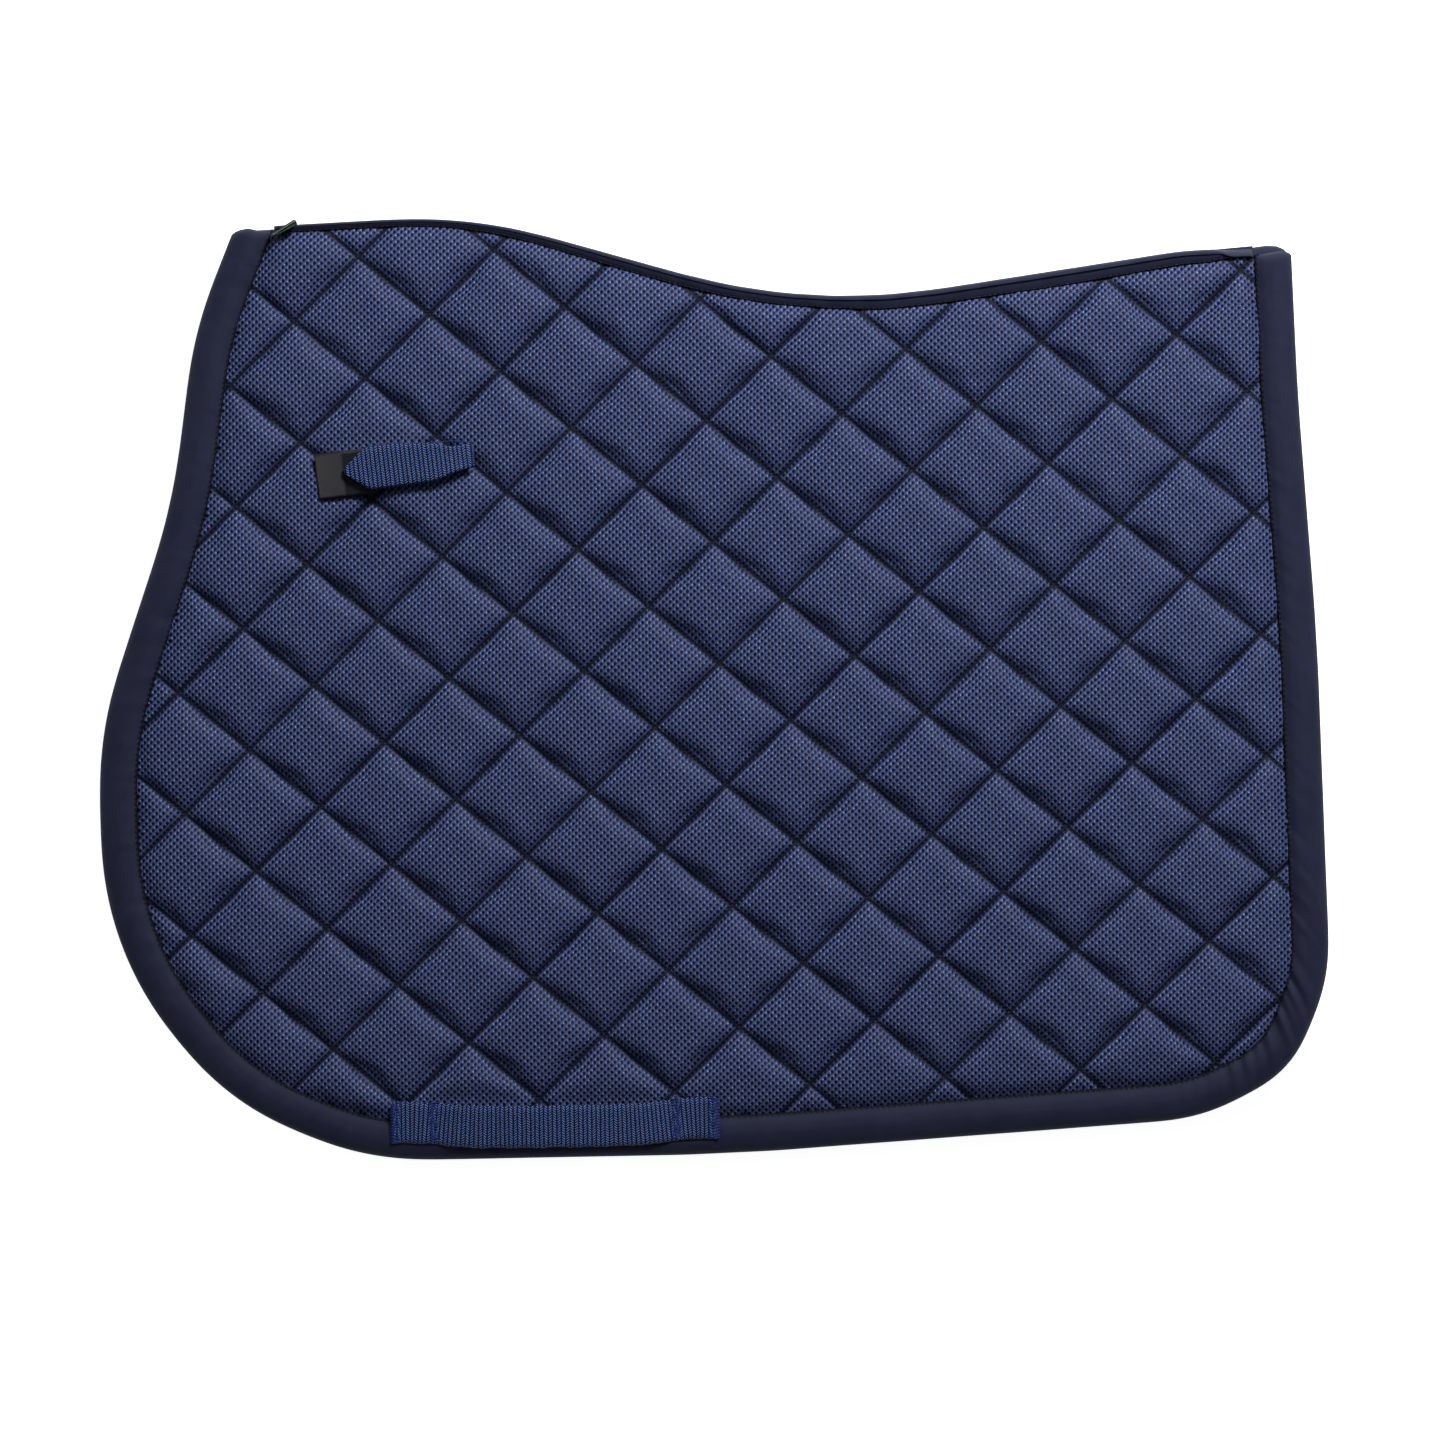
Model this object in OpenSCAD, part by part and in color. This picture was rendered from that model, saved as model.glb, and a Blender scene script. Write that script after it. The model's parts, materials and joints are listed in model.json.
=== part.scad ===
// Contoured, diamond-quilted saddle pad, folded along its spine and lying flat.
// +X to the rear, +Y to the spine, +Z up. Origin at the centre of the footprint, on the ground.

/* [Thickness] */
// Thickness of one half at its bound edge
half_t = 10; // [8:0.5:14]
// Height of the wadding's crown above the bound edge, upper half
crown = 3.5; // [2:0.5:6]
// Thickness of the outer quilt fabric
fabric_t = 1; // [0.8:0.1:1.5]
// Thickness of the lining
lining_t = 0.8; // [0.6:0.1:1.2]
// Gap between the two folded halves
fold_gap = 0.3; // [0.3:0.1:1]

/* [Binding] */
// Width of the binding round the front, bottom and rear
edge_w = 23; // [18:1:30]
// Width of the spine binding
spine_w = 8; // [6:0.5:10]
// Thickness of the binding fabric
wrap_t = 0.8; // [0.6:0.1:1]
// Distance from the edge to the crown's border
crown_inset = 42; // [40:1:60]

/* [Quilting] */
// Spacing of the quilting lines, square to the lines
quilt_pitch = 52; // [40:1:70]
// Direction of the lines that fall to the rear
fall_angle = -38.8; // [-45:0.1:-30]
// Direction of the lines that rise to the rear
rise_angle = 45; // [35:0.5:50]
// Distance from the origin to the first falling line
fall_shift = 14.6; // [0:0.1:25]
// Distance from the origin to the first rising line
rise_shift = 9; // [0:0.1:25]
// Thickness of the sewing thread
thread_t = 0.4; // [0.3:0.1:0.5]
// Width of a row of stitches
thread_w = 0.8; // [0.6:0.1:1]

/* [Girth loop] */
// Length of the girth loop
loop_l = 187; // [160:1:190]
// Width of the girth loop
loop_w = 24; // [20:1:25]
// Thickness of the webbing
web_t = 1.8; // [1.5:0.1:2]
// Length of each sewn end
loop_end = 26; // [20:1:30]
// Height of the opening under the upper loop
loop_rise = 6.5; // [5:0.5:8]

/* [Billet strap] */
// Width of the strap
strap_w = 25; // [20:1:26]
// Length of the flap from its fold to its tip
flap_l = 76; // [65:1:80]
// Length of the flap's pointed tip
tip_l = 16; // [10:1:20]
// Length of the sewn base
base_l = 34; // [25:1:36]
// Thickness of the hook tape and of the loop tape
tape_t = [1.5, 1.3];
// Clearance between the flap and what is under it
strap_gap = 0.3; // [0.3:0.1:0.5]

/* [Hidden] */
NEAR = 0;
FAR = 1;
BIG = 1000;
ARC_STEP = 5;
MIN_FILLET = 3;

// Corners of a half's outline, anticlockwise from the rear end of the spine: [x, y, fillet radius].
// The two halves differ at the first corner only.
REAR_TOP = [[333, 254, 20], [331, 258.5, 14]];
CORNERS = [
    [270, 253, 60],
    [55, 219.5, 350],
    [-140, 273.5, 280],
    [-276, 266, 8],
    [-299, 210, 230],
    [-312, 107, 350],
    [-355, -25, 220],
    [-351, -150, 185],
    [-279, -238, 160],
    [-198, -271, 170],
    [10, -267, 900],
    [281, -246.5, 110],
    [333, -219, 62],
    [355.5, -165, 100],
    [348, 30, 900],
    [337, 170, 900]
];
SPINE_EDGES = 4;

// Heights in a half, from its inner face
fabric_top = half_t - wrap_t;
wadding_top = fabric_top - fabric_t;
wadding_bottom = wrap_t + lining_t;
thread_side = edge_w + thread_w;
thread_spine = spine_w + thread_w;
crown_spine_inset = 20;

// Girth loop, in plan
LOOP_MID = [-91, -246.5];
LOOP_TURN = 0.9;
LOOP_STITCHES = [3, 25];
LOOP_STEPS = 24;

// Billet strap, in plan: the fold, and the hook tape's end seen from the fold
FOLD = [-139.5, 135];
STRAP_TURN = 4.5;
TAPE_END = [-88.5, -5.5];
TAPE_TURN = 2.5;
TAPE_SIZE = [34, 28.5];
tape_fold_l = 15.5;
tape_margin = 2;
flap_bottom = tape_t[0] + strap_gap + tape_t[1];
strap_stack = flap_bottom + web_t;
roll_r = (strap_stack - strap_gap) / 2;
fold_h = strap_gap + roll_r;
base_start = sqrt(pow(roll_r + strap_gap, 2) - pow(fold_h - web_t, 2));
flap_stitch_x = -26;

// The lower half lies on its straps: they stop short of the ground by the thread and a little more
ground_gap = thread_t + 0.2;
loop_foot = [half_t, half_t - ground_gap - web_t];
strap_foot = [fabric_top + crown, half_t - ground_gap - strap_stack];

// Dents in the lower half: [origin, turn, first corner, size, depth]
DENTS = [
    [LOOP_MID, LOOP_TURN, -[loop_l + 4, loop_w + 4] / 2, [loop_l + 4, loop_w + 4], web_t + ground_gap],
    [FOLD, STRAP_TURN, [-91, -23], [103, 38], fabric_top - strap_foot[FAR]]
];
STRAP_DENT = 1;

// Ribbon label, in plan
LABEL_TAIL = [-254, 262];
LABEL_HEAD = [-241.5, 269];
LABEL_R = 2;
LABEL_H = 8;
LABEL_T = 0.7;

NAVY = [0.10, 0.12, 0.20];
QUILT = [0.16, 0.18, 0.30];
WEBBING = [0.14, 0.19, 0.38];
BLACK = [0.07, 0.07, 0.08];
WADDING = [0.85, 0.85, 0.82];
RIBBON = [0.08, 0.16, 0.14];

// ---- outline ----

function unit(v) = v / norm(v);
function left(v) = [-v[1], v[0]];
function turned(v, a) = [v[0] * cos(a) - v[1] * sin(a), v[0] * sin(a) + v[1] * cos(a)];
function corner(half, i) =
    let (all = concat([REAR_TOP[half]], CORNERS)) all[(i + len(all)) % len(all)];
function spot(half, i) = [corner(half, i)[0], corner(half, i)[1]];
function heading(half, i) = unit(spot(half, i + 1) - spot(half, i));
// Where the line through p along u meets the line through q along v
function meeting(p, u, q, v) = p + u * cross(q - p, v) / cross(u, v);
// Edge i runs from corner i to the next; the first edges are the spine
function inset_of(i, side, spine) =
    let (n = len(CORNERS) + 1) (i + n) % n < SPINE_EDGES ? spine : side;

// Points of a fillet of radius r at p, between the headings u and v
function fillet(p, u, v, r) =
    let (
        turn = atan2(cross(u, v), u * v),
        start = p - u * r * tan(abs(turn) / 2),
        centre = start + left(u) * r * sign(turn),
        steps = max(1, ceil(abs(turn) / ARC_STEP))
    )
    [for (k = [0:steps]) centre + turned(start - centre, turn * k / steps)];

// A half's outline with its sides and its spine each moved inwards
function outline_points(half, side, spine) = [
    for (i = [0:len(CORNERS)])
        let (
            u = heading(half, i - 1),
            v = heading(half, i),
            before = inset_of(i - 1, side, spine),
            after = inset_of(i, side, spine),
            p = meeting(spot(half, i) + left(u) * before, u, spot(half, i) + left(v) * after, v),
            r = corner(half, i)[2] - sign(cross(u, v)) * max(before, after)
        )
        each fillet(p, u, v, max(MIN_FILLET, r))
];

module outline(half, side = 0, spine = 0) {
    polygon(outline_points(half, side, spine));
}

module layer(from, to) {
    translate([0, 0, from]) linear_extrude(to - from) children();
}

// Places a half's pieces, drawn with z from the half's inner face, in the folded pad
module placed(half) {
    if (half == NEAR) translate([0, 0, half_t + fold_gap]) children();
    else translate([0, 0, half_t]) mirror([0, 0, 1]) children();
}

// ---- dents: where the lower half closes round its pressed straps ----

function dents(half) = half == FAR ? DENTS : [];

module dent_plan(dent, grow = 0) {
    translate(dent[0]) rotate(dent[1])
        translate(dent[2] - [grow, grow]) square(dent[3] + 2 * [grow, grow]);
}

// A layer over the 2D child, pressed in at each dent; its walls start at grow outside the dent
module pressed_layer(half, from, to, grow) {
    difference() {
        union() {
            layer(from, to) children();
            for (dent = dents(half))
                layer(from - dent[4], to) intersection() {
                    children();
                    dent_plan(dent, grow + to - from);
                }
        }
        for (dent = dents(half)) layer(to - dent[4], to + 1) dent_plan(dent, grow);
    }
}

// Leaves the thread out where a strap is sewn over it
module without_dents(half) {
    difference() {
        children();
        for (dent = dents(half)) layer(0, half_t + 1) dent_plan(dent, wrap_t + fabric_t);
    }
}

// ---- the quilted panel ----

module panel(half) { outline(half, wrap_t, wrap_t); }
module crown_plan(half, inset = 0) { outline(half, crown_inset + inset, crown_spine_inset + inset); }

module outer_fabric(half) {
    if (half == NEAR) {
        layer(wadding_top, fabric_top) difference() {
            panel(half);
            crown_plan(half, fabric_t);
        }
        layer(fabric_top, fabric_top + crown) difference() {
            crown_plan(half);
            crown_plan(half, fabric_t);
        }
        layer(wadding_top + crown, fabric_top + crown) crown_plan(half, fabric_t);
    } else pressed_layer(half, wadding_top, fabric_top, wrap_t) panel(half);
}

module wadding(half) {
    difference() {
        layer(wadding_bottom, wadding_top) panel(half);
        for (dent = dents(half)) layer(wadding_top - dent[4], half_t) dent_plan(dent, wrap_t + fabric_t);
    }
    if (half == NEAR) layer(wadding_top, wadding_top + crown) crown_plan(half, fabric_t);
}

module lining(half) { layer(wrap_t, wadding_bottom) panel(half); }

// One family of parallel quilting lines
module line_family(angle, shift) {
    reach = ceil(BIG / 2 / quilt_pitch);
    rotate(angle) for (k = [-reach:reach])
        translate([-BIG / 2, shift + k * quilt_pitch - thread_w / 2]) square([BIG, thread_w]);
}

module quilt_lines() {
    line_family(fall_angle, fall_shift);
    line_family(rise_angle, rise_shift);
}

module quilting_thread(half) {
    without_dents(half) layer(fabric_top, fabric_top + thread_t) intersection() {
        quilt_lines();
        difference() {
            outline(half, thread_side, thread_spine);
            if (half == NEAR) crown_plan(half);
        }
    }
    if (half == NEAR)
        layer(fabric_top + crown, fabric_top + crown + thread_t) difference() {
            intersection() {
                quilt_lines();
                crown_plan(half);
            }
            dent_plan(DENTS[STRAP_DENT]);
        }
}

// ---- bindings, folded round the panel's edge ----

module edge_strip(half) {
    difference() {
        outline(half, 0, spine_w);
        outline(half, edge_w, spine_w);
    }
}

module edge_binding(half) {
    pressed_layer(half, fabric_top, half_t, 0) edge_strip(half);
    layer(wrap_t, fabric_top) difference() {
        edge_strip(half);
        panel(half);
    }
    layer(0, wrap_t) edge_strip(half);
}

module spine_binding(half) {
    difference() {
        layer(0, half_t) difference() {
            outline(half);
            outline(half, 0, spine_w);
        }
        layer(wrap_t, fabric_top) panel(half);
    }
}

module binding_stitching(half) {
    without_dents(half) layer(fabric_top, fabric_top + thread_t) difference() {
        outline(half, edge_w, spine_w);
        outline(half, thread_side, thread_spine);
    }
}

// ---- girth loop ----

// The webbing's side view: a shallow arch between two flat sewn ends
function loop_height(x, rise) =
    let (span = loop_l / 2 - loop_end) rise * max(0, 1 - pow(x / span, 2));
function loop_line(rise, lift) = concat(
    [[-loop_l / 2, lift]],
    [for (k = [-LOOP_STEPS:LOOP_STEPS])
        let (x = k / LOOP_STEPS * (loop_l / 2 - loop_end)) [x, lift + loop_height(x, rise)]],
    [[loop_l / 2, lift]]
);
function reversed(list) = [for (i = [len(list) - 1:-1:0]) list[i]];

module on_loop(half) {
    translate([LOOP_MID[0], LOOP_MID[1], loop_foot[half]]) rotate(LOOP_TURN) children();
}

module girth_loop(half) {
    rise = half == NEAR ? loop_rise : 0;
    profile = half == NEAR
        ? concat(loop_line(rise, 0), reversed(loop_line(rise, web_t)))
        : [[-loop_l / 2, 0], [loop_l / 2, 0], [loop_l / 2, web_t], [-loop_l / 2, web_t]];
    on_loop(half) translate([0, loop_w / 2, 0]) rotate([90, 0, 0]) linear_extrude(loop_w) polygon(profile);
}

module girth_loop_stitching(half) {
    row = [thread_w, loop_w - 4, thread_t];
    on_loop(half) for (side = [-1, 1], from_end = LOOP_STITCHES)
        translate([side * (loop_l / 2 - from_end) - row[0] / 2, -row[1] / 2, web_t]) cube(row);
}

// ---- billet strap ----

module on_strap(half) {
    translate([FOLD[0], FOLD[1], strap_foot[half]]) rotate(STRAP_TURN) children();
}

// A strip that ends in a blunt point at -X
module pointed(from, to, width, point, nose) {
    polygon([
        [to, -width / 2], [to, width / 2],
        [from + point, width / 2], [from, nose / 2],
        [from, -nose / 2], [from + point, -width / 2]
    ]);
}

module strap_base(half) {
    on_strap(half) translate([-base_start - base_l, -strap_w / 2, 0]) cube([base_l, strap_w, web_t]);
}

module strap_base_stitching(half) {
    margin = 2.5;
    size = [base_l - 2 * margin, strap_w - 2 * margin];
    on_strap(half) translate([-base_start - base_l + margin, -size[1] / 2, web_t])
        linear_extrude(thread_t) difference() {
            square(size);
            translate([thread_w, thread_w]) square(size - 2 * [thread_w, thread_w]);
        }
}

module hook_tape(half) {
    web = tape_t[0] / 2;
    on_strap(half) translate(TAPE_END) rotate(TAPE_TURN) translate([0, -TAPE_SIZE[1] / 2, 0]) {
        cube([TAPE_SIZE[0], TAPE_SIZE[1], web]);
        translate([0, 0, web]) cube([tape_fold_l, TAPE_SIZE[1], web]);
        translate([tape_fold_l, tape_margin, web])
            cube([TAPE_SIZE[0] - tape_fold_l, TAPE_SIZE[1] - 2 * tape_margin, web]);
    }
}

module strap_flap(half) {
    on_strap(half) {
        layer(flap_bottom, strap_stack) pointed(-flap_l, 0, strap_w, tip_l, 4);
        translate([0, strap_w / 2, fold_h]) rotate([90, 0, 0]) cylinder(h = strap_w, r = roll_r, $fn = 48);
    }
}

module loop_tape(half) {
    on_strap(half) layer(flap_bottom - tape_t[1], flap_bottom)
        pointed(-flap_l + 4, -base_start - base_l - 3, strap_w - 4, tip_l - 2, 2);
}

module flap_stitching(half) {
    row = [thread_w, strap_w - 3, thread_t];
    on_strap(half) translate([flap_stitch_x, -row[1] / 2, strap_stack]) cube(row);
}

// ---- ribbon label: a folded ribbon standing on its edge ----

module teardrop(r, cut) {
    line = LABEL_HEAD - LABEL_TAIL;
    reach = acos(r / norm(line));
    aim = atan2(-line[1], -line[0]);
    polygon(concat(
        [LABEL_TAIL + unit(line) * cut],
        [for (k = [0:24]) LABEL_HEAD + r * turned([1, 0], aim + reach + (360 - 2 * reach) * k / 24)]
    ));
}

module ribbon_label_loop() {
    placed(NEAR) layer(half_t, half_t + LABEL_H) difference() {
        teardrop(LABEL_R, 0);
        teardrop(LABEL_R - LABEL_T, 5);
    }
}

// ---- nodes ----

module near_outer_fabric() { color(QUILT) placed(NEAR) outer_fabric(NEAR); }
module near_wadding() { color(WADDING) placed(NEAR) wadding(NEAR); }
module near_lining() { color(NAVY) placed(NEAR) lining(NEAR); }
module near_quilting_thread() { color(BLACK) placed(NEAR) quilting_thread(NEAR); }
module near_edge_binding() { color(NAVY) placed(NEAR) edge_binding(NEAR); }
module near_binding_stitching() { color(BLACK) placed(NEAR) binding_stitching(NEAR); }
module near_spine_binding() { color(NAVY) placed(NEAR) spine_binding(NEAR); }
module near_girth_loop() { color(WEBBING) placed(NEAR) girth_loop(NEAR); }
module near_girth_loop_stitching() { color(BLACK) placed(NEAR) girth_loop_stitching(NEAR); }
module near_strap_base() { color(WEBBING) placed(NEAR) strap_base(NEAR); }
module near_strap_base_stitching() { color(BLACK) placed(NEAR) strap_base_stitching(NEAR); }
module near_hook_tape() { color(BLACK) placed(NEAR) hook_tape(NEAR); }
module near_strap_flap() { color(WEBBING) placed(NEAR) strap_flap(NEAR); }
module near_loop_tape() { color(BLACK) placed(NEAR) loop_tape(NEAR); }
module near_flap_stitching() { color(BLACK) placed(NEAR) flap_stitching(NEAR); }
module far_outer_fabric() { color(QUILT) placed(FAR) outer_fabric(FAR); }
module far_wadding() { color(WADDING) placed(FAR) wadding(FAR); }
module far_lining() { color(NAVY) placed(FAR) lining(FAR); }
module far_quilting_thread() { color(BLACK) placed(FAR) quilting_thread(FAR); }
module far_edge_binding() { color(NAVY) placed(FAR) edge_binding(FAR); }
module far_binding_stitching() { color(BLACK) placed(FAR) binding_stitching(FAR); }
module far_spine_binding() { color(NAVY) placed(FAR) spine_binding(FAR); }
module far_girth_loop() { color(WEBBING) placed(FAR) girth_loop(FAR); }
module far_girth_loop_stitching() { color(BLACK) placed(FAR) girth_loop_stitching(FAR); }
module far_strap_base() { color(WEBBING) placed(FAR) strap_base(FAR); }
module far_strap_base_stitching() { color(BLACK) placed(FAR) strap_base_stitching(FAR); }
module far_hook_tape() { color(BLACK) placed(FAR) hook_tape(FAR); }
module far_strap_flap() { color(WEBBING) placed(FAR) strap_flap(FAR); }
module far_loop_tape() { color(BLACK) placed(FAR) loop_tape(FAR); }
module far_flap_stitching() { color(BLACK) placed(FAR) flap_stitching(FAR); }
module ribbon_label() { color(RIBBON) ribbon_label_loop(); }

near_outer_fabric();
near_wadding();
near_lining();
near_quilting_thread();
near_edge_binding();
near_binding_stitching();
near_spine_binding();
near_girth_loop();
near_girth_loop_stitching();
near_strap_base();
near_strap_base_stitching();
near_hook_tape();
near_strap_flap();
near_loop_tape();
near_flap_stitching();
far_outer_fabric();
far_wadding();
far_lining();
far_quilting_thread();
far_edge_binding();
far_binding_stitching();
far_spine_binding();
far_girth_loop();
far_girth_loop_stitching();
far_strap_base();
far_strap_base_stitching();
far_hook_tape();
far_strap_flap();
far_loop_tape();
far_flap_stitching();
ribbon_label();
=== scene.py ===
import json
import math

import bmesh
import bpy
import numpy as np
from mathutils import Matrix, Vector


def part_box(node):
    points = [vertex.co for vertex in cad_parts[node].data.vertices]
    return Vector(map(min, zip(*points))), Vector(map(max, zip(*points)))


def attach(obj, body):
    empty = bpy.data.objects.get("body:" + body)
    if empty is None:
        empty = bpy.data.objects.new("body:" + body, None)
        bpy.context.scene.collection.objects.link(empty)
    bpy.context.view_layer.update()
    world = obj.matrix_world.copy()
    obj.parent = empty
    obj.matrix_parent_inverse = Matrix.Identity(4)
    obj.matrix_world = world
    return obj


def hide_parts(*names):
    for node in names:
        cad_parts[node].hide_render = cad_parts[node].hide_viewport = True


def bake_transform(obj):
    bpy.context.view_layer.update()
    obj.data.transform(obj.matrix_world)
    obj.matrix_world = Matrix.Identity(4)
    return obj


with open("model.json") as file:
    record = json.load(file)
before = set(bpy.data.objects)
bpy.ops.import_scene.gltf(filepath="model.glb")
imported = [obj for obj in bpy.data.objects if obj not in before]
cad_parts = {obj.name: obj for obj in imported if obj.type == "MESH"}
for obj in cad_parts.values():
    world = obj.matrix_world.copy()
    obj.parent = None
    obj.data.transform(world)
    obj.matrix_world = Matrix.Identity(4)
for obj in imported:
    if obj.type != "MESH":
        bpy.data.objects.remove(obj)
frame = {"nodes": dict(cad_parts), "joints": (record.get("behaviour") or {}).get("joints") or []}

bl_info = {
    "name": "Saddle pad",
    "version": (1, 0, 0),
    "blender": (4, 5, 0),
    "location": "View3D > Sidebar > Saddle pad",
    "description": "Builds a diamond-quilted saddle pad, folded along its spine, around its frame",
    "category": "Object",
}

MM = 0.001
TURN = 2 * math.pi
NEAR, FAR = "near", "far"
SIDES = (NEAR, FAR)

# The spine binding's width in millimetres, at shares of the way from the front to the rear
BAND_PLACES = [0.06, 0.21, 0.31, 0.39, 0.55, 0.61, 0.78, 0.875, 0.92, 0.937, 0.952]
BAND_WIDTHS = [3.7, 3.9, 5.7, 6.8, 6.9, 8.2, 9.1, 8.0, 6.9, 4.8, 3.3]

# How far the quilted cloth runs on under its bindings, and how near to their edge a mesh point moves
# onto it, in millimetres
UNDER_BINDING, SNAP = 7.5, 1.5

# How far from a quilting line, and from the bindings, the stuffed cloth still rises, in millimetres
LINE_FLANK, RIM_FLANK = 21, 18

# The frames that the cloth is simulated for
CLOTH_FRAMES = 24

# Two heights above a billet strap's foot at its fold, in millimetres
FOLD_ZONE = 1.95, 3.1

# The billet strap, in millimetres from its fold: the tip of its flap, the end of the loop tape under
# it, the hook tape's folded end, and how much the flap leans down for each millimetre of its length
FLAP_TIP, PILE_TIP, FLAP_LEAN = -72.5, -68.5, 0.048
TAPE_END = np.array([-88.5, -5.5])


# -------- sizes and colours that a user would change

def length_prop(name, about, size):
    return bpy.props.FloatProperty(name=name, description=about, default=size * MM, unit="LENGTH")


def angle_prop(name, about, degrees):
    return bpy.props.FloatProperty(
        name=name, description=about, default=math.radians(degrees), subtype="ANGLE")


def colour_prop(name, about, *colour):
    return bpy.props.FloatVectorProperty(name=name, description=about, default=colour, subtype="COLOR")


class QuiltSizes(bpy.types.PropertyGroup):
    """The quilted panels"""
    pitch: length_prop("Line spacing", "Spacing of the quilting lines, square to the lines", 52)
    fall: angle_prop("Falling lines", "Direction of the lines that fall to the rear", -38.8)
    rise: angle_prop("Rising lines", "Direction of the lines that rise to the rear", 45)
    fall_shift: length_prop("Falling shift", "Distance from the origin to the first falling line", 14.6)
    rise_shift: length_prop("Rising shift", "Distance from the origin to the first rising line", 9)
    valley: length_prop("Groove height", "Height of the cloth at the quilting, above the inner face", 7)
    puff: length_prop("Puff height", "Rise of each diamond above its quilting", 6.4)
    cells: bpy.props.IntProperty(
        name="Cells", description="Mesh cells along one side of a diamond", default=12)
    stitch: length_prop("Quilting stitch", "Length of a quilting stitch with its gap", 3.6)


class TrimSizes(bpy.types.PropertyGroup):
    """Bindings, straps and threads"""
    edge_w: length_prop("Edge binding", "Width of the binding round the sides", 23)
    stitch: length_prop("Binding stitch", "Length of a binding stitch with its gap", 3.2)
    thread: length_prop("Thread", "Thickness of the sewing thread", 0.65)
    web_t: length_prop("Webbing", "Thickness of the webbing", 1.8)
    web_sag: length_prop("Girth loop sag", "How far the girth loop hangs towards the bottom edge", 3.2)


class ClothColours(bpy.types.PropertyGroup):
    """Colours of the cloths"""
    knit: colour_prop("Quilt cloth", "Main colour of the quilted cloth", 0.011, 0.022, 0.088)
    mauve: colour_prop("Quilt yarn", "Colour of the fine slanting yarns", 0.070, 0.074, 0.156)
    # The bright dots' colour is a painted glint, not the colour of a yarn
    glint: colour_prop("Bright yarn", "Colour of the dots between the yarns", 0.16, 0.30, 0.62)
    binding: colour_prop("Binding", "Colour of the smooth binding cloth", 0.0115, 0.014, 0.036)
    webbing: colour_prop("Webbing", "Colour of the webbing", 0.018, 0.044, 0.180)


# -------- plane geometry, in millimetres

def unit(v):
    return v / np.maximum(np.linalg.norm(v, axis=-1, keepdims=True), 1e-12)


def left(v):
    return np.stack([-v[..., 1], v[..., 0]], -1)


def heading(angle):
    return np.array([math.cos(angle), math.sin(angle)])


def smoothstep(x):
    x = np.clip(x, 0, 1)
    return x * x * (3 - 2 * x)


def lengths_along(line):
    return np.concatenate([[0], np.cumsum(np.linalg.norm(np.diff(line, axis=0), axis=1))])


def part_between(line, start, end, count):
    along = lengths_along(line)
    at = np.linspace(start, end, count)
    return np.stack([np.interp(at, along, line[:, k]) for k in range(line.shape[1])], 1)


def resampled(line, step):
    total = lengths_along(line)[-1]
    return part_between(line, 0, total, max(2, int(round(total / step)) + 1))


def smoothed(line, reach):
    """Averages an evenly spaced open line over reach points each way, keeping its ends."""
    kernel = np.hanning(2 * reach + 3)[1:-1]
    kernel /= kernel.sum()
    whole = np.concatenate([2 * line[0] - line[reach:0:-1], line, 2 * line[-1] - line[-2:-reach - 2:-1]])
    return np.stack([np.convolve(whole[:, k], kernel, "valid") for k in range(line.shape[1])], 1)


def normals_of(line):
    """Unit normals of an open line, to the left of its direction."""
    return left(unit(np.gradient(line, axis=0)))


def crossing(line, other):
    """How far along an open line it first crosses another, and where."""
    along = lengths_along(line)
    q, s = other[:-1], np.diff(other, axis=0)
    for k in range(len(line) - 1):
        p, r = line[k], line[k + 1] - line[k]
        square = r[0] * s[:, 1] - r[1] * s[:, 0]
        square = np.where(abs(square) < 1e-12, 1e-12, square)
        t = ((q - p)[:, 0] * s[:, 1] - (q - p)[:, 1] * s[:, 0]) / square
        w = ((q - p)[:, 0] * r[1] - (q - p)[:, 1] * r[0]) / square
        hits = (t >= 0) & (t <= 1) & (w >= 0) & (w <= 1)
        if hits.any():
            return along[k] + t[hits][0] * np.linalg.norm(r), p + t[hits][0] * r
    raise RuntimeError("two edge lines of the pad don't meet")


def places_on(line, *spots):
    """How far along a line its points nearest to some spots lie."""
    along = lengths_along(line)
    return [along[int(np.argmin(np.linalg.norm(line - spot, axis=1)))] for spot in spots]


def turned(points, centre, turn):
    """Plan points drawn about an origin, turned and moved to a centre."""
    return centre + points[..., :1] * heading(turn) + points[..., 1:2] * heading(turn + math.pi / 2)


def nearest_on(points, line):
    """Distance from each point to a polyline, and the nearest point on it."""
    best = np.full(len(points), 1e9)
    nearest = np.zeros((len(points), 2))
    for p, e in zip(line[:-1], np.diff(line, axis=0)):
        t = np.clip(((points - p) @ e) / max(e @ e, 1e-12), 0, 1)
        q = p + t[:, None] * e
        d = np.linalg.norm(points - q, axis=1)
        closer = d < best
        best[closer], nearest[closer] = d[closer], q[closer]
    return best, nearest


def inside(points, loop):
    """Whether each point lies inside a closed polyline whose last point is its first."""
    result = np.zeros(len(points), bool)
    for a, b in zip(loop[:-1], loop[1:]):
        if a[1] != b[1]:
            crosses = (a[1] > points[:, 1]) != (b[1] > points[:, 1])
            side = (b[0] - a[0]) * (points[:, 1] - a[1]) / (b[1] - a[1]) + a[0]
            result ^= crosses & (points[:, 0] < side)
    return result


def wave(x, seed, count=5):
    """An irregular smooth wave of period about 1 and height about 1, the same each run."""
    spread = 0.35
    rng = np.random.default_rng(seed)
    total = np.zeros_like(x, dtype=float)
    for _ in range(count):
        total += np.sin(TURN * (x * (1 + spread * rng.uniform(-1, 1)) + rng.uniform())) / math.sqrt(count)
    return total


# -------- the frame

def low(node):
    return np.array(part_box(node)[0]) / MM


def high(node):
    return np.array(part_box(node)[1]) / MM


def joint(name):
    return next(j for j in frame["joints"] if j["name"] == name)


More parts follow.
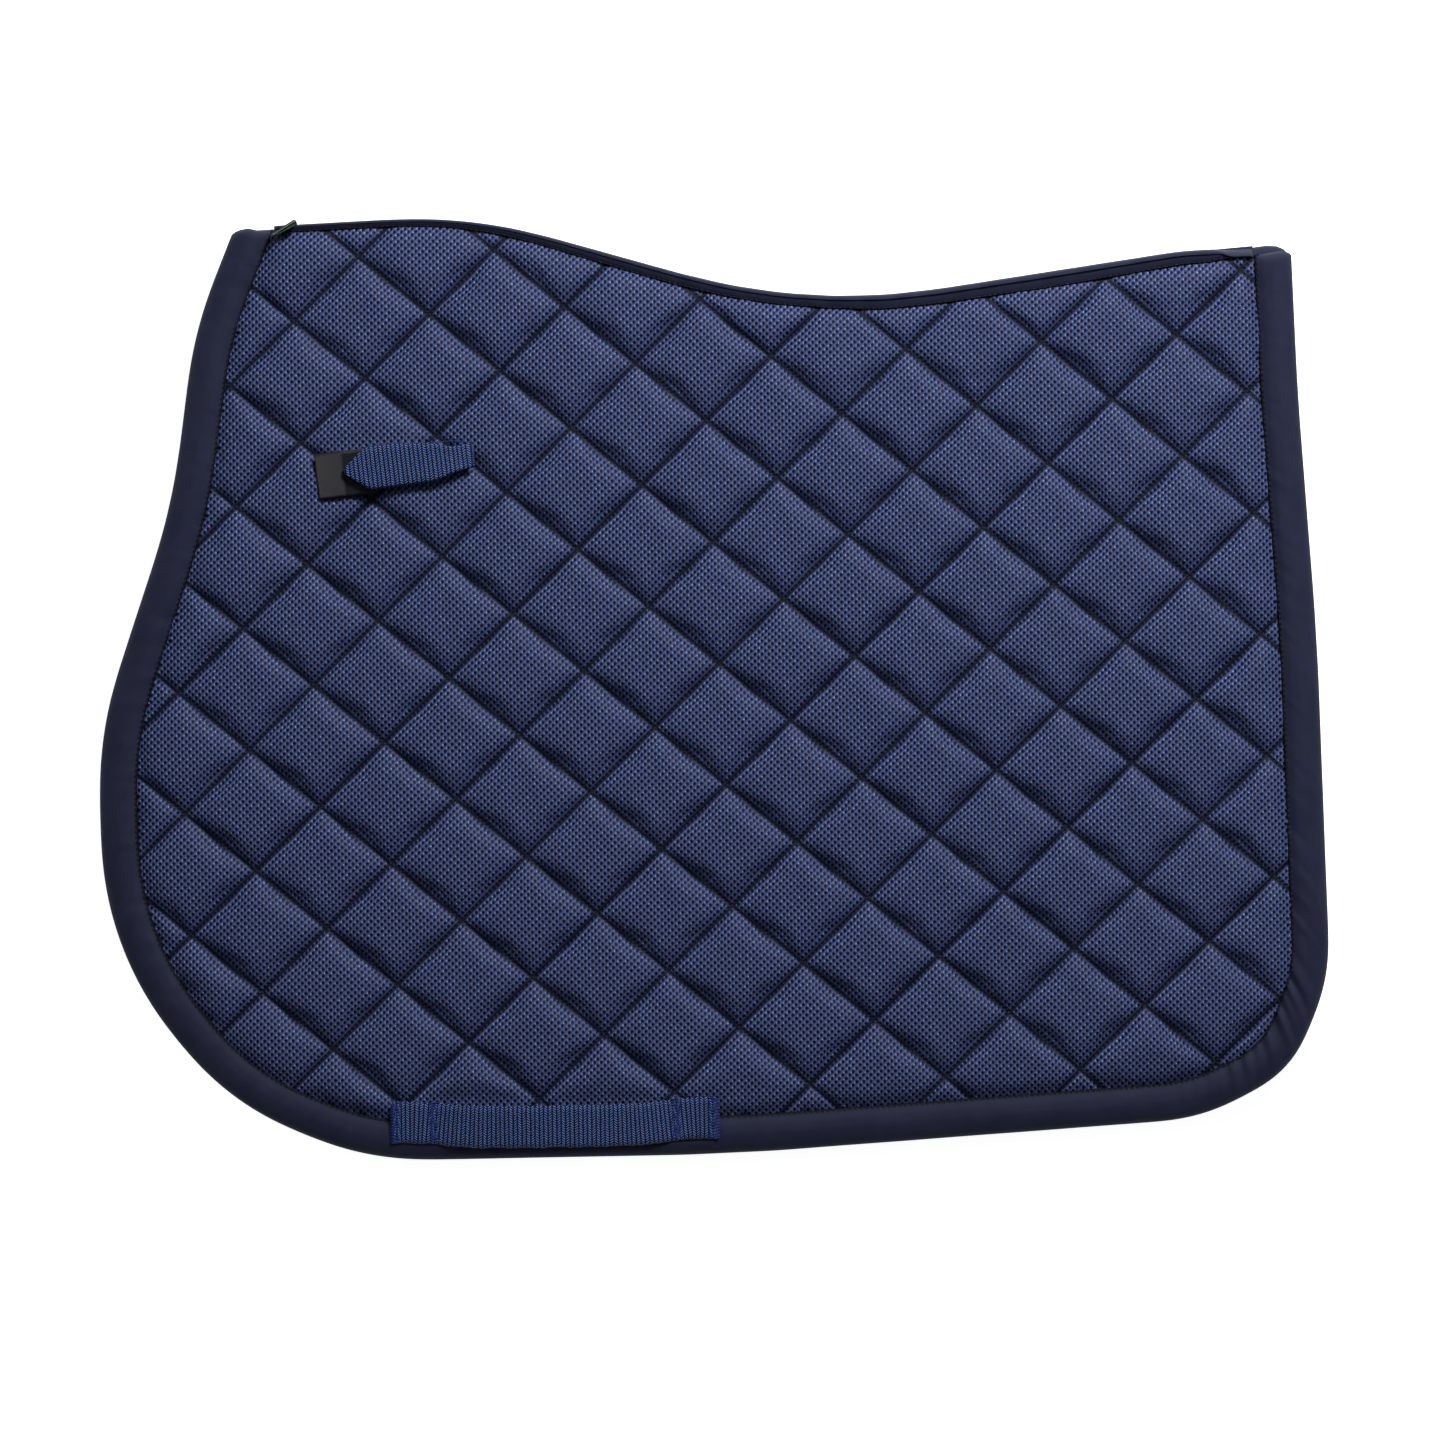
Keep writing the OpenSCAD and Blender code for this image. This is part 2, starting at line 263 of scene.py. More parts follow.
class Half:
    """One half of the pad: its edge lines, and its heights measured outwards from its inner face."""
    trim = 26  # length of each rounded end of an edge line that a straight one replaces
    step = 2.0  # spacing of an edge line's points

    def __init__(self, side):
        self.side, self.body = side, side + "_half"
        rim = side + "_edge_binding"
        self.inner, self.outward = (low(rim)[2], 1) if side == NEAR else (high(rim)[2], -1)
        self.thick = high(rim)[2] - low(rim)[2]
        ring = self.outline_of(side + "_lining")
        grow = low(side + "_lining")[0] - low(rim)[0]
        front, rear = (int(np.argmax(ring @ np.array([x, 0.8]))) for x in (-0.6, 0.6))
        count = len(ring)
        self.sides, self.spine = (
            self.edge_line(ring[[(a + k) % count for k in range((b - a) % count + 1)]], grow)
            for a, b in ((front, rear), (rear, front)))
        self.side_normals, self.spine_normals = normals_of(self.sides), normals_of(self.spine)
        self.front = crossing(self.sides, self.spine)[1]
        self.rear = crossing(self.sides[::-1], self.spine)[1]
        self.loop_middle = (low(side + "_girth_loop") + high(side + "_girth_loop"))[:2] / 2
        self.loop_foot = self.foot_of(side + "_girth_loop")
        fold = joint(side + "_strap_fold")
        self.fold = np.array(fold["pos_m"][:2]) / MM
        self.strap_turn = math.atan2(abs(fold["axis"][0]), abs(fold["axis"][1]))
        self.strap_foot = self.foot_of(side + "_strap_base")
        # Where flat pieces are laid: the height of their foot, their centre in plan and their turn
        self.on_loop = self.loop_foot, self.loop_middle, math.radians(0.9)
        self.on_strap = self.strap_foot, self.fold, self.strap_turn
        self.on_tape = (self.strap_foot, turned(TAPE_END, self.fold, self.strap_turn),
                        self.strap_turn + math.radians(2.5))

    def z(self, height):
        return self.inner + self.outward * height

    def raised(self, plan, heights):
        """Points in space, from plan points and their heights above the inner face."""
        return np.column_stack([plan, self.z(heights)])

    def foot_of(self, node):
        """The height of a node's underside above this half's inner face."""
        return min((corner[2] - self.inner) * self.outward for corner in (low(node), high(node)))

    @staticmethod
    def outline_of(node):
        """The outline of a flat-bottomed node, anticlockwise."""
        data = frame["nodes"][node].data
        places, keys = [], {}
        for v in data.vertices:
            keys.setdefault(tuple(round(c / MM, 3) for c in v.co), len(keys))
        index = [keys[tuple(round(c / MM, 3) for c in v.co)] for v in data.vertices]
        places = np.array(list(keys))
        floor = places[:, 2].min() + 0.01
        edges = set()
        for face in data.polygons:
            ring = [index[i] for i in face.vertices]
            if max(places[i][2] for i in ring) <= floor:
                edges.update(zip(ring, ring[1:] + ring[:1]))
        follow = {a: b for a, b in edges if (b, a) not in edges}
        loop = [min(follow)]
        while follow[loop[-1]] != loop[0]:
            loop.append(follow[loop[-1]])
        ring = places[loop][:, :2]
        after = np.roll(ring, -1, 0)
        return ring if np.sum(ring[:, 0] * after[:, 1] - after[:, 0] * ring[:, 1]) > 0 else ring[::-1]

    def edge_line(self, line, grow):
        """Replaces a line's rounded ends by straight ones, smooths it and moves it out by grow."""
        even = resampled(line, self.step)
        cut = int(self.trim / self.step)
        body = even[cut:-cut]
        steps = np.arange(1, cut + 8)[:, None] * self.step
        whole = np.concatenate([(body[0] + unit(body[0] - body[4]) * steps)[::-1], body,
                                body[-1] + unit(body[-1] - body[-5]) * steps])
        whole = smoothed(resampled(whole, self.step), 7)
        return whole - normals_of(whole) * grow

    def share(self, x):
        """How far along the spine a point lies, from 0 at the front to 1 at the rear."""
        return (x - self.front[0]) / (self.rear[0] - self.front[0])

    def band(self, points):
        return np.interp(self.share(points[:, 0]), BAND_PLACES, BAND_WIDTHS)

    def spine_at(self, inset):
        inset = np.broadcast_to(inset, len(self.spine))
        return self.spine + self.spine_normals * inset[:, None]

    def side_at(self, inset, front=0.0, rear=0.0, count=960):
        """The line at a distance inside the sides, from the front of the spine to its rear."""
        line = self.sides + self.side_normals * inset
        start = crossing(line, self.spine_at(front))[0]
        back = crossing(line[::-1], self.spine_at(rear))[0]
        return part_between(line, start, lengths_along(line)[-1] - back, count)

    def window(self, edge_w, band):
        """The closed line inside the sides by edge_w and inside the spine by band."""
        side = self.side_at(edge_w, band, band)
        spine = self.spine_at(band)
        ends = places_on(spine, side[-1], side[0])
        return np.concatenate([side, part_between(spine, *ends, 300)[1:-1], side[:1]])

    def pressed(self, points, heights):
        """Keeps heights under the straps that lie on this half."""
        slope = 0.55 if self.side == NEAR else 1.0
        away = points - self.fold
        along, across = away @ heading(self.strap_turn), away @ heading(self.strap_turn + math.pi / 2)
        out = np.hypot(np.maximum(abs(along + 40) - 48, 0), np.maximum(abs(across + 3) - 17, 0))
        heights = np.minimum(heights, self.strap_foot - 0.15 + slope * out)
        away = abs(points - self.loop_middle)
        out = np.hypot(np.maximum(away[:, 0] - 94, 0), np.maximum(away[:, 1] - 12.5, 0))
        return np.minimum(heights, self.loop_foot - 0.1 + slope * out)


# -------- meshes

def new_piece(name, points, faces, uv=None, material=None, edges=()):
    """A smooth mesh object from points in millimetres, with a place on the cloth in metres for each."""
    mesh = bpy.data.meshes.new(name)
    mesh.from_pydata((np.asarray(points, float) * MM).tolist(), edges, [list(map(int, f)) for f in faces])
    if uv is not None:
        layer = mesh.uv_layers.new(name="cloth")
        corners = np.empty(len(mesh.loops), np.int32)
        mesh.loops.foreach_get("vertex_index", corners)
        layer.data.foreach_set("uv", np.asarray(uv, float)[corners].ravel())
    mesh.polygons.foreach_set("use_smooth", [True] * len(mesh.polygons))
    mesh.update()
    piece = bpy.data.objects.new(name, mesh)
    bpy.context.scene.collection.objects.link(piece)
    if material:
        mesh.materials.append(material)
    return piece


def grid_faces(rows, columns, round_columns=False):
    """Quads of a grid whose points run column by column within each row."""
    r, c = np.meshgrid(np.arange(rows - 1), np.arange(columns - (not round_columns)), indexing="ij")
    c2 = (c + 1) % columns
    return np.stack([r * columns + c, (r + 1) * columns + c, (r + 1) * columns + c2, r * columns + c2],
                    -1).reshape(-1, 4)


def tube_faces(rows, columns):
    """Quads of a tube whose sections run column by column, and a face over each end."""
    last = (rows - 1) * columns
    return [*grid_faces(rows, columns, True).tolist(), list(range(columns)),
            list(range(last, last + columns))[::-1]]


def modifiers_applied(piece):
    """Turns a piece's modifiers into plain mesh."""
    mesh = bpy.data.meshes.new_from_object(piece.evaluated_get(bpy.context.evaluated_depsgraph_get()))
    piece.modifiers.clear()
    old, piece.data = piece.data, mesh
    bpy.data.meshes.remove(old)
    return piece


def subdivided(piece, levels=1):
    modifier = piece.modifiers.new("Smooth", "SUBSURF")
    modifier.levels = modifier.render_levels = levels
    modifier.boundary_smooth = "PRESERVE_CORNERS"
    return modifiers_applied(piece)


def facing_out(piece):
    """Turns a closed mesh's faces out, by the sign of its volume."""
    mesh = piece.data
    mesh.calc_loop_triangles()
    points = np.array([v.co[:] for v in mesh.vertices])
    a, b, c = np.moveaxis(points[np.array([t.vertices[:] for t in mesh.loop_triangles])], 1, 0)
    if np.einsum("ij,ij->i", a, np.cross(b, c)).sum() < 0:
        mesh.flip_normals()
    return piece


def facing(piece, direction):
    """Turns an open sheet's faces towards a direction, on the whole."""
    mesh = piece.data
    total = sum((Vector(p.normal) * p.area for p in mesh.polygons), Vector())
    if total.dot(Vector(direction)) < 0:
        mesh.flip_normals()
    return piece


def settled(piece, body, slot, *nodes):
    """Puts a finished piece on its body, in place of its nodes."""
    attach(piece, body)
    if nodes:
        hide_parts(*nodes)
    return piece


# -------- node trees

class Wire:
    """A node's output, for writing sums of nodes as expressions."""

    def __init__(self, nodes, socket):
        self.nodes, self.socket = nodes, socket

    def _sum(self, operation, *values):
        return self.nodes.node("ShaderNodeMath", *values, settings={"operation": operation})

    def __add__(self, other): return self._sum("ADD", self, other)
    def __radd__(self, other): return self._sum("ADD", other, self)
    def __sub__(self, other): return self._sum("SUBTRACT", self, other)
    def __rsub__(self, other): return self._sum("SUBTRACT", other, self)
    def __mul__(self, other): return self._sum("MULTIPLY", self, other)
    def __rmul__(self, other): return self._sum("MULTIPLY", other, self)
    def __truediv__(self, other): return self._sum("DIVIDE", self, other)
    def sin(self): return self._sum("SINE", self)
    def fract(self): return self._sum("FRACT", self)
    def abs(self): return self._sum("ABSOLUTE", self)
    def above(self, other): return self._sum("GREATER_THAN", self, other)
    def waves(self, length): return (self * (TURN / length)).sin()

    def ramp(self, start, end, low=0.0, high=1.0):
        """Runs smoothly from low to high as this goes from start to end."""
        return self.nodes.node("ShaderNodeMapRange", self, start, end, low, high,
                               settings={"interpolation_type": "SMOOTHSTEP"})


class Nodes:
    """A node tree in which one method makes every node."""

    def __init__(self, tree):
        self.tree = tree

    def node(self, kind, *inputs, settings=None, output=0, **named):
        """Adds a node, gives it its settings and then its sockets' values or links."""
        made = self.tree.nodes.new(kind)
        for key, value in (settings or {}).items():
            setattr(made, key, value)
        for key, value in [*enumerate(inputs), *named.items()]:
            self.feed(made.inputs[key.replace("_", " ") if isinstance(key, str) else key], value)
        return Wire(self, made.outputs[output])

    def feed(self, socket, value):
        if isinstance(value, Wire):
            self.tree.links.new(value.socket, socket)
        elif value is not None:
            socket.default_value = (*value, 1) if socket.type == "RGBA" else value


# -------- materials

class Look(Nodes):
    """A material whose surface is set by shine()."""

    def __init__(self, name):
        self.material = bpy.data.materials.new(name)
        self.material.use_nodes = True
        super().__init__(self.material.node_tree)
        self.surface = self.tree.nodes["Principled BSDF"]

    def cloth(self):
        """The cloth's own u and v, in metres, and both as one place."""
        place = self.node("ShaderNodeUVMap", settings={"uv_map": "cloth"})
        u = self.node("ShaderNodeSeparateXYZ", place)
        return u, Wire(self, u.socket.node.outputs[1]), place

    def at(self, u, v):
        return self.node("ShaderNodeCombineXYZ", u, v)

    def noise(self, place, scale, detail=2.0):
        return self.node("ShaderNodeTexNoise", Vector=place, Scale=scale, Detail=detail)

    def mix(self, factor, first, second):
        made = self.node("ShaderNodeMix", settings={"data_type": "RGBA"}, output=2)
        for place, value in ((0, factor), (6, first), (7, second)):
            self.feed(made.socket.node.inputs[place], value)
        return made

    def shine(self, bump=None, distance=0.0003, strength=1.0, **sockets):
        for key, value in sockets.items():
            self.feed(self.surface.inputs[key.replace("_", " ")], value)
        if bump is not None:
            normal = self.node("ShaderNodeBump", Strength=strength, Distance=distance, Height=bump)
            self.feed(self.surface.inputs["Normal"], normal)
        return self.material


def along_cloth(u, v, way):
    """How far a place on the cloth lies along a direction."""
    return u * float(way[0]) + v * float(way[1])


def knit_look(colours, quilt):
    """Quilt cloth: a slanting lattice of small holes, mauve yarns between them, and bright dots that
    are painted glints. Along the quilting lines the colour is darkened with painted shade."""
    look = Look("quilt_cloth")
    u, v, place = look.cloth()
    period = 2.79 * MM
    wobble = look.noise(place, 260) - 0.5
    a = along_cloth(u, v, heading(math.radians(47))) * (TURN / period) + wobble * 1.6
    b = along_cloth(u, v, heading(math.radians(135))) * (TURN / period) - wobble * 1.3
    hole = (a.sin() + b.sin()) * 0.5
    yarn = (b + math.pi).sin().ramp(0.25, 0.95)
    cross = (a + math.pi).sin().ramp(0.35, 0.95)
    net = 1 - (1 - yarn) * (1 - cross * 0.6)
    # Painted highlight: the bright dots between the yarns, patchy by the sparkle noise, are glints
    # painted into the colour
    dot = ((a + 1.5).sin() + (b - 1.5).sin()) * 0.5
    fibres = look.noise(place, 2600, 3.0)
    sparkle = look.noise(place, 700, 1.0).ramp(0.35, 0.75)
    mauve = look.mix(net, colours.knit, colours.mauve)
    lit = look.mix(dot.ramp(0.4, 0.9) * (sparkle * 0.75 + 0.25), mauve, colours.glint)
    holed = look.mix(hole.ramp(0.15, 0.7), lit, (0.001, 0.002, 0.010))
    # Painted shade: the colour darkens to near black within about 2.4 mm of each quilting line
    unshaded_by_groove = 1
    for turn, shift in ((quilt.fall, quilt.fall_shift), (quilt.rise, quilt.rise_shift)):
        count = (along_cloth(u, v, left(heading(turn))) - shift) / quilt.pitch
        groove_shade_distance = ((count.fract() - 0.5).abs() - 0.5) * quilt.pitch
        unshaded_by_groove = (1 - groove_shade_distance.ramp(-2.4 * MM, -0.3 * MM)) * unshaded_by_groove
    tone = look.mix(unshaded_by_groove, (0.003, 0.005, 0.016), holed)
    height = (1 - hole.ramp(-0.1, 0.8)) * 0.6 + net * 0.5 + fibres * 0.25
    return look.shine(
        height, distance=0.0004, strength=0.9, Base_Color=tone, Roughness=0.5,
        Sheen_Weight=0.02, Sheen_Roughness=0.4, Sheen_Tint=(0.5, 0.6, 1.0), Specular_IOR_Level=0.1)


def binding_look(colours):
    """Smooth, closely woven binding cloth with a faint satin bloom.
    Its colour has painted shade along the seam where it meets the quilt, scalloped at each stitch.
    """
    look = Look("binding_cloth")
    u, v, place = look.cloth()
    weave = u.waves(0.45 * MM) * v.waves(0.45 * MM)
    mottle = look.noise(place, 90, 3.0)
    fibres = look.noise(place, 1500, 3.0)
    lint = look.noise(look.at(u * 900, v * 60), 1.0).ramp(0.74, 0.8)
    soft = look.mix(mottle.ramp(0.3, 0.75) * 0.4, colours.binding, (0.022, 0.025, 0.048))
    worn = look.mix(fibres * 0.25, soft, (0.036, 0.038, 0.066))
    # Painted shade: the colour darkens to near black within about 2 mm of v = 0, scalloped at each stitch
    dimple = u.waves(3.2 * MM) * (0.45 * MM)
    shaded_seam = (v.abs() + dimple).ramp(0.7 * MM, 2.2 * MM)
    tone = look.mix(shaded_seam, (0.0015, 0.002, 0.006), look.mix(lint * 0.3, worn, (0.12, 0.12, 0.15)))
    return look.shine(
        weave * 0.4 + fibres * 0.6 + mottle * 0.6, distance=0.00014, strength=0.55, Base_Color=tone,
        Roughness=0.5 + mottle * 0.15, Sheen_Weight=0.03, Sheen_Roughness=0.35,
        Sheen_Tint=(0.75, 0.78, 1.0), Specular_IOR_Level=0.08)


def lining_look():
    """Plain woven lining."""
    look = Look("lining_cloth")
    u, v, place = look.cloth()
    weave = u.waves(1.1 * MM) * v.waves(1.1 * MM)
    mottle = look.noise(place, 60, 3.0)
    fibres = look.noise(place, 1800, 3.0)
    ground = look.mix(weave.ramp(-0.6, 0.8), (0.010, 0.012, 0.028), (0.032, 0.038, 0.075))
    tone = look.mix(mottle.ramp(0.3, 0.7) * 0.3, ground, (0.018, 0.020, 0.045))
    return look.shine(
        weave * 0.7 + fibres * 0.5, distance=0.00025, strength=0.7, Base_Color=tone, Roughness=0.8,
        Sheen_Weight=0.1, Sheen_Roughness=0.5, Sheen_Tint=(0.6, 0.65, 1.0))


def webbing_look(colours):
    """Ribbed webbing: rows of slanting yarns across it that lean one way and then the other.
    Its colour has painted shade between the yarns and painted highlights on their crowns.
    """
    look = Look("webbing")
    u, v, place = look.cloth()
    row_width, yarn_width = 2.5 * MM, 1.4 * MM
    row = u / row_width
    across = row.fract() - 0.5
    lean = (row / 2).fract().above(0.5) * 2 - 1
    yarn = (v / yarn_width + across * lean * 1.25).waves(1)
    fibres = look.noise(place, 2600, 3.0)
    bead = across.abs().ramp(0.5, 0.25) * yarn.ramp(-0.7, 0.6)
    shade = bead * (fibres.ramp(0.3, 0.7) * 0.4 + 0.6)
    # Painted shade and highlight: near black between the yarns, pale blue on their crowns
    base = look.mix(shade.ramp(0.1, 0.6), (0.001, 0.003, 0.022), colours.webbing)
    tone = look.mix(shade.ramp(0.5, 0.95), base, (0.15, 0.23, 0.50))
    return look.shine(
        bead + fibres * 0.2, distance=0.0007, strength=0.9, Base_Color=tone, Roughness=0.5,
        Sheen_Weight=0.02, Sheen_Roughness=0.4, Sheen_Tint=(0.6, 0.7, 1.0), Specular_IOR_Level=0.12)


def thread_look(name, dark, pale):
    """Sewing thread, with its fine twist."""
    look = Look(name)
    place = look.node("ShaderNodeTexCoord", output=3)
    fibres = look.noise(place, 3000)
    return look.shine(fibres, distance=0.0001, Base_Color=look.mix(fibres, dark, pale), Roughness=0.45,
                      Specular_IOR_Level=0.2)


def tape_look():
    """The fine twill back of the hook tape."""
    look = Look("hook_tape_twill")
    u, v, place = look.cloth()
    twill = (u + v * 0.7).waves(0.75 * MM)
    fibres = look.noise(place, 3000)
    shade = twill.ramp(-0.8, 0.9) * (fibres * 0.6 + 0.5)
    return look.shine(
        twill * 0.7 + fibres * 0.3, distance=0.0002, strength=0.8, Roughness=0.5, Specular_IOR_Level=0.2,
        Base_Color=look.mix(shade, (0.004, 0.004, 0.006), (0.040, 0.040, 0.047)))


def pile_look():
    """The brushed loops of the loop tape."""
    look = Look("loop_tape_pile")
    u, v, place = look.cloth()
    loops = look.noise(place, 900, 3.0)
    tufts = look.noise(place, 240)
    tone = look.mix(loops.ramp(0.3, 0.7), (0.004, 0.004, 0.006), (0.035, 0.035, 0.045))
    return look.shine(loops + tufts, distance=0.0006, strength=0.9, Base_Color=tone, Roughness=0.9,
                      Sheen_Weight=0.3, Sheen_Roughness=0.5)


def ribbon_look():
    """Dark green ribbon with a cream line along its upper edge."""
    look = Look("ribbon")
    u, v, _ = look.cloth()
    line = v.ramp(0.89, 0.91) * v.ramp(0.98, 0.96)
    weave = u.waves(0.5 * MM)
    fibres = look.noise(look.at(u * 900, v * 8), 1.0)
    body = look.mix(fibres, (0.001, 0.005, 0.005), (0.004, 0.024, 0.018))
    tone = look.mix(line, body, (0.42, 0.46, 0.36))
    return look.shine(weave, distance=0.0001, strength=0.5, Base_Color=tone, Roughness=0.7,
                      Specular_IOR_Level=0.05)


def floor_look():
    """A pale floor, evenly lit."""
    look = Look("pale_floor")
    grain = look.noise(look.node("ShaderNodeTexCoord", output=3), 40)
    tone = look.mix(grain, (0.90, 0.90, 0.90), (0.93, 0.93, 0.93))
    return look.shine(Base_Color=tone, Roughness=0.9, Emission_Color=(1, 1, 1), Emission_Strength=0.9)


# Cloths, halves and node trees that several steps share, each made once
made_once = {}


def shared(name, make, *args):
    if name not in made_once:
        made_once[name] = make(*args)
    return made_once[name]


def half_of(side):
    return shared("half " + side, Half, side)


# Threads and hooks: the name of each material, its dark colour and its pale one
THREADS = {
    "thread": ("sewing_thread", (0.001, 0.001, 0.003), (0.012, 0.012, 0.018)),
    "blue_thread": ("webbing_thread", (0.004, 0.012, 0.075), (0.018, 0.045, 0.22)),
    "brown_thread": ("flap_thread", (0.016, 0.012, 0.010), (0.10, 0.075, 0.055)),
    "hook_plastic": ("hook_plastic", (0.006, 0.008, 0.020), (0.04, 0.05, 0.10)),
}


def cloth(name, context):
    colours = context.scene.pad_colours
    if name in THREADS:
        return shared("cloth " + name, thread_look, *THREADS[name])
    makers = {
        "knit": lambda: knit_look(colours, context.scene.pad_quilt),
        "binding": lambda: binding_look(colours),
        "lining": lining_look,
        "webbing": lambda: webbing_look(colours),
        "tape": tape_look,
        "pile": pile_look,
        "ribbon": ribbon_look,
        "floor": floor_look,
    }
    return shared("cloth " + name, makers[name])


# -------- stitches

def node_group(name, **kinds):
    """A geometry node group's nodes, and a wire for each thing that it is given."""
    tree = bpy.data.node_groups.new(name, "GeometryNodeTree")
    for key, kind in kinds.items():
        tree.interface.new_socket(key, in_out="INPUT", socket_type="NodeSocket" + kind)
    tree.interface.new_socket("Result", in_out="OUTPUT", socket_type="NodeSocketGeometry")
    nodes, given = Nodes(tree), tree.nodes.new("NodeGroupInput")
    return nodes, [Wire(nodes, given.outputs[key]) for key in kinds]


def bent_thread(nodes, steps, sides, radius, *bow):
    """A short thread with so many sides, bowed in so many steps between three places."""
    start, middle, end = bow
    bow = nodes.node("GeometryNodeCurveQuadraticBezier", Resolution=steps, Start=start, Middle=middle,
                     End=end)
    ring = nodes.node("GeometryNodeCurvePrimitiveCircle", Resolution=sides, Radius=radius)
    return nodes.node("GeometryNodeCurveToMesh", Curve=bow, Profile_Curve=ring, Fill_Caps=True)


def set_out(nodes, points, thing, rotation, scale, material):
    """Ends a node group with one thing at each point, as plain mesh in its material."""
    laid = nodes.node("GeometryNodeInstanceOnPoints", Points=points, Instance=thing, Rotation=rotation,
                      Scale=nodes.node("ShaderNodeCombineXYZ", *scale))
    real = nodes.node("GeometryNodeRealizeInstances", laid)
    coloured = nodes.node("GeometryNodeSetMaterial", real, Material=material)
    nodes.feed(nodes.tree.nodes.new("NodeGroupOutput").inputs["Result"], coloured)
    return nodes.tree


def stitch_tree():
    """Lays one bowed stitch at each step along its lines."""
    nodes, (lines, pitch, length, thread, facing, material) = node_group(
        "stitch_row", Lines="Geometry", Pitch="Float", Length="Float", Thread="Float", Facing="Vector",
        Material="Material")
    curve = nodes.node("GeometryNodeMeshToCurve", lines)
    steps = nodes.node("GeometryNodeResampleCurve", Curve=curve, Length=pitch,
                       settings={"mode": "LENGTH"})
    stitch = bent_thread(nodes, 3, 4, 0.5, (-0.5, 0, -0.55), (0, 0, 0.8), (0.5, 0, -0.55))
    along = nodes.node("FunctionNodeAlignRotationToVector", settings={"axis": "X"},
                       Vector=nodes.node("GeometryNodeInputTangent"))
    upright = nodes.node("FunctionNodeAlignRotationToVector", Rotation=along, Vector=facing,
                         settings={"axis": "Z", "pivot_axis": "X"})
    return set_out(nodes, steps, nodes.node("GeometryNodeSetShadeSmooth", stitch), upright,
                   (length, thread, thread), material)


def grown(name, points, edges, tree, **given):
    """A piece that a node group makes from points in millimetres and the edges between them."""
    piece = new_piece(name, points, [], edges=edges)
    modifier = piece.modifiers.new("Grown", "NODES")
    modifier.node_group = tree
    for item in tree.interface.items_tree:
        if item.in_out == "INPUT" and item.name in given:
            modifier[item.identifier] = given[item.name]
    return modifiers_applied(piece)


def sewn(context, half, name, lines, sizes, colour, body, *nodes, inner=False):
    """Stitches along lines of points in millimetres; sizes are a stitch's step, length and thickness
    in metres."""
    points, edges = [], []
    for line in lines:
        edges.extend((len(points) + k, len(points) + k + 1) for k in range(len(line) - 1))
        points.extend(line)
    step, length, thread = sizes
    piece = grown(half.side + name, points, edges, shared("stitch tree", stitch_tree), Pitch=step,
                  Length=length, Thread=thread, Facing=(0, 0, -half.outward if inner else half.outward),
                  Material=cloth(colour, context))
    return settled(piece, body, "thread", *nodes)


# -------- quilting

class Quilt:
    """The lattice of quilting lines, and a flat mesh whose edges follow them."""

    def __init__(self, sizes):
        self.pitch = sizes.pitch / MM
        self.cells = sizes.cells
        self.along = [heading(sizes.fall), heading(sizes.rise)]
        self.square = np.array([left(self.along[0]), left(self.along[1])])
        self.shifts = np.array([sizes.fall_shift, sizes.rise_shift]) / MM

    def places(self, points):
        """Counts of lines crossed in each family: whole numbers lie on a line."""
        return (points @ self.square.T - self.shifts) / self.pitch

    def points(self, places):
        return (places * self.pitch + self.shifts) @ np.linalg.inv(self.square).T

    def spread(self, start, end):
        """Mesh lines between two counts, gathered towards the quilting."""
        x = np.arange((end - start) * self.cells + 1) / self.cells
        return start + x - 0.45 * np.sin(TURN * x) / TURN

    def mesh(self, window, outer):
        """Points, their counts, their depth inside the window, and quads, out to the outer line."""
        corners = self.places(outer)
        start, end = np.floor(corners.min(0)).astype(int) - 1, np.ceil(corners.max(0)).astype(int) + 1
        i, j = self.spread(start[0], end[0]), self.spread(start[1], end[1])
        places = np.stack(np.meshgrid(i, j, indexing="ij"), -1).reshape(-1, 2)
        points = self.points(places)
        quads = grid_faces(len(i), len(j))
        distance, nearest = nearest_on(points, window)
        depth = np.where(inside(points, window), distance, -distance)
        snapped = abs(depth) < SNAP
        points[snapped], depth[snapped] = nearest[snapped], 0
        kept = depth > -UNDER_BINDING
        outside = kept & ~inside(points, outer)
        points[outside] = nearest_on(points[outside], outer)[1]
        quads = quads[kept[quads].all(1) & ~outside[quads].all(1)]
        used = np.unique(quads)
        renumbered = np.full(len(points), -1)
        renumbered[used] = np.arange(len(used))
        return points[used], places[used], depth[used], renumbered[quads]

    def lines(self, window):
        """The quilting lines inside the window, as runs of plan points."""
        runs = []
        reach = np.arange(-520, 520, 2.0)[:, None]
        for along, square, shift in zip(self.along, self.square, self.shifts):
            counts = (window @ square - shift) // self.pitch
            for k in range(int(counts.min()), int(counts.max()) + 1):
                line = square * (shift + k * self.pitch) + along * reach
                within = inside(line, window)
                edges = np.flatnonzero(np.diff(np.concatenate([[0], within.astype(int), [0]])))
                runs += [line[a + 1:b - 1] for a, b in zip(edges[::2], edges[1::2]) if b - a > 6]
        return runs


def stuffed(distance, width):
    """Rise of stuffed cloth from a stitched line: 0 on it, steep beside it, 1 from width away."""
    left_over = 1 - np.clip(distance / width, 0, 1)
    return 1 - 0.62 * left_over ** 9 - 0.38 * left_over ** 2.2


def plain_puffs(quilt, places, depth):
    """Height of the stuffed cloth by rule, from 0 at the quilting to 1 in the middle of a diamond."""
    away = abs(places - np.round(places)) * quilt.pitch
    diamond = np.floor(places) @ np.array([0.7548, 0.5698])
    full = 0.95 + 0.07 * np.sin(TURN * diamond)
    return (full * stuffed(away[:, 0], LINE_FLANK) * stuffed(away[:, 1], LINE_FLANK)
            * stuffed(np.maximum(depth, 0), RIM_FLANK))


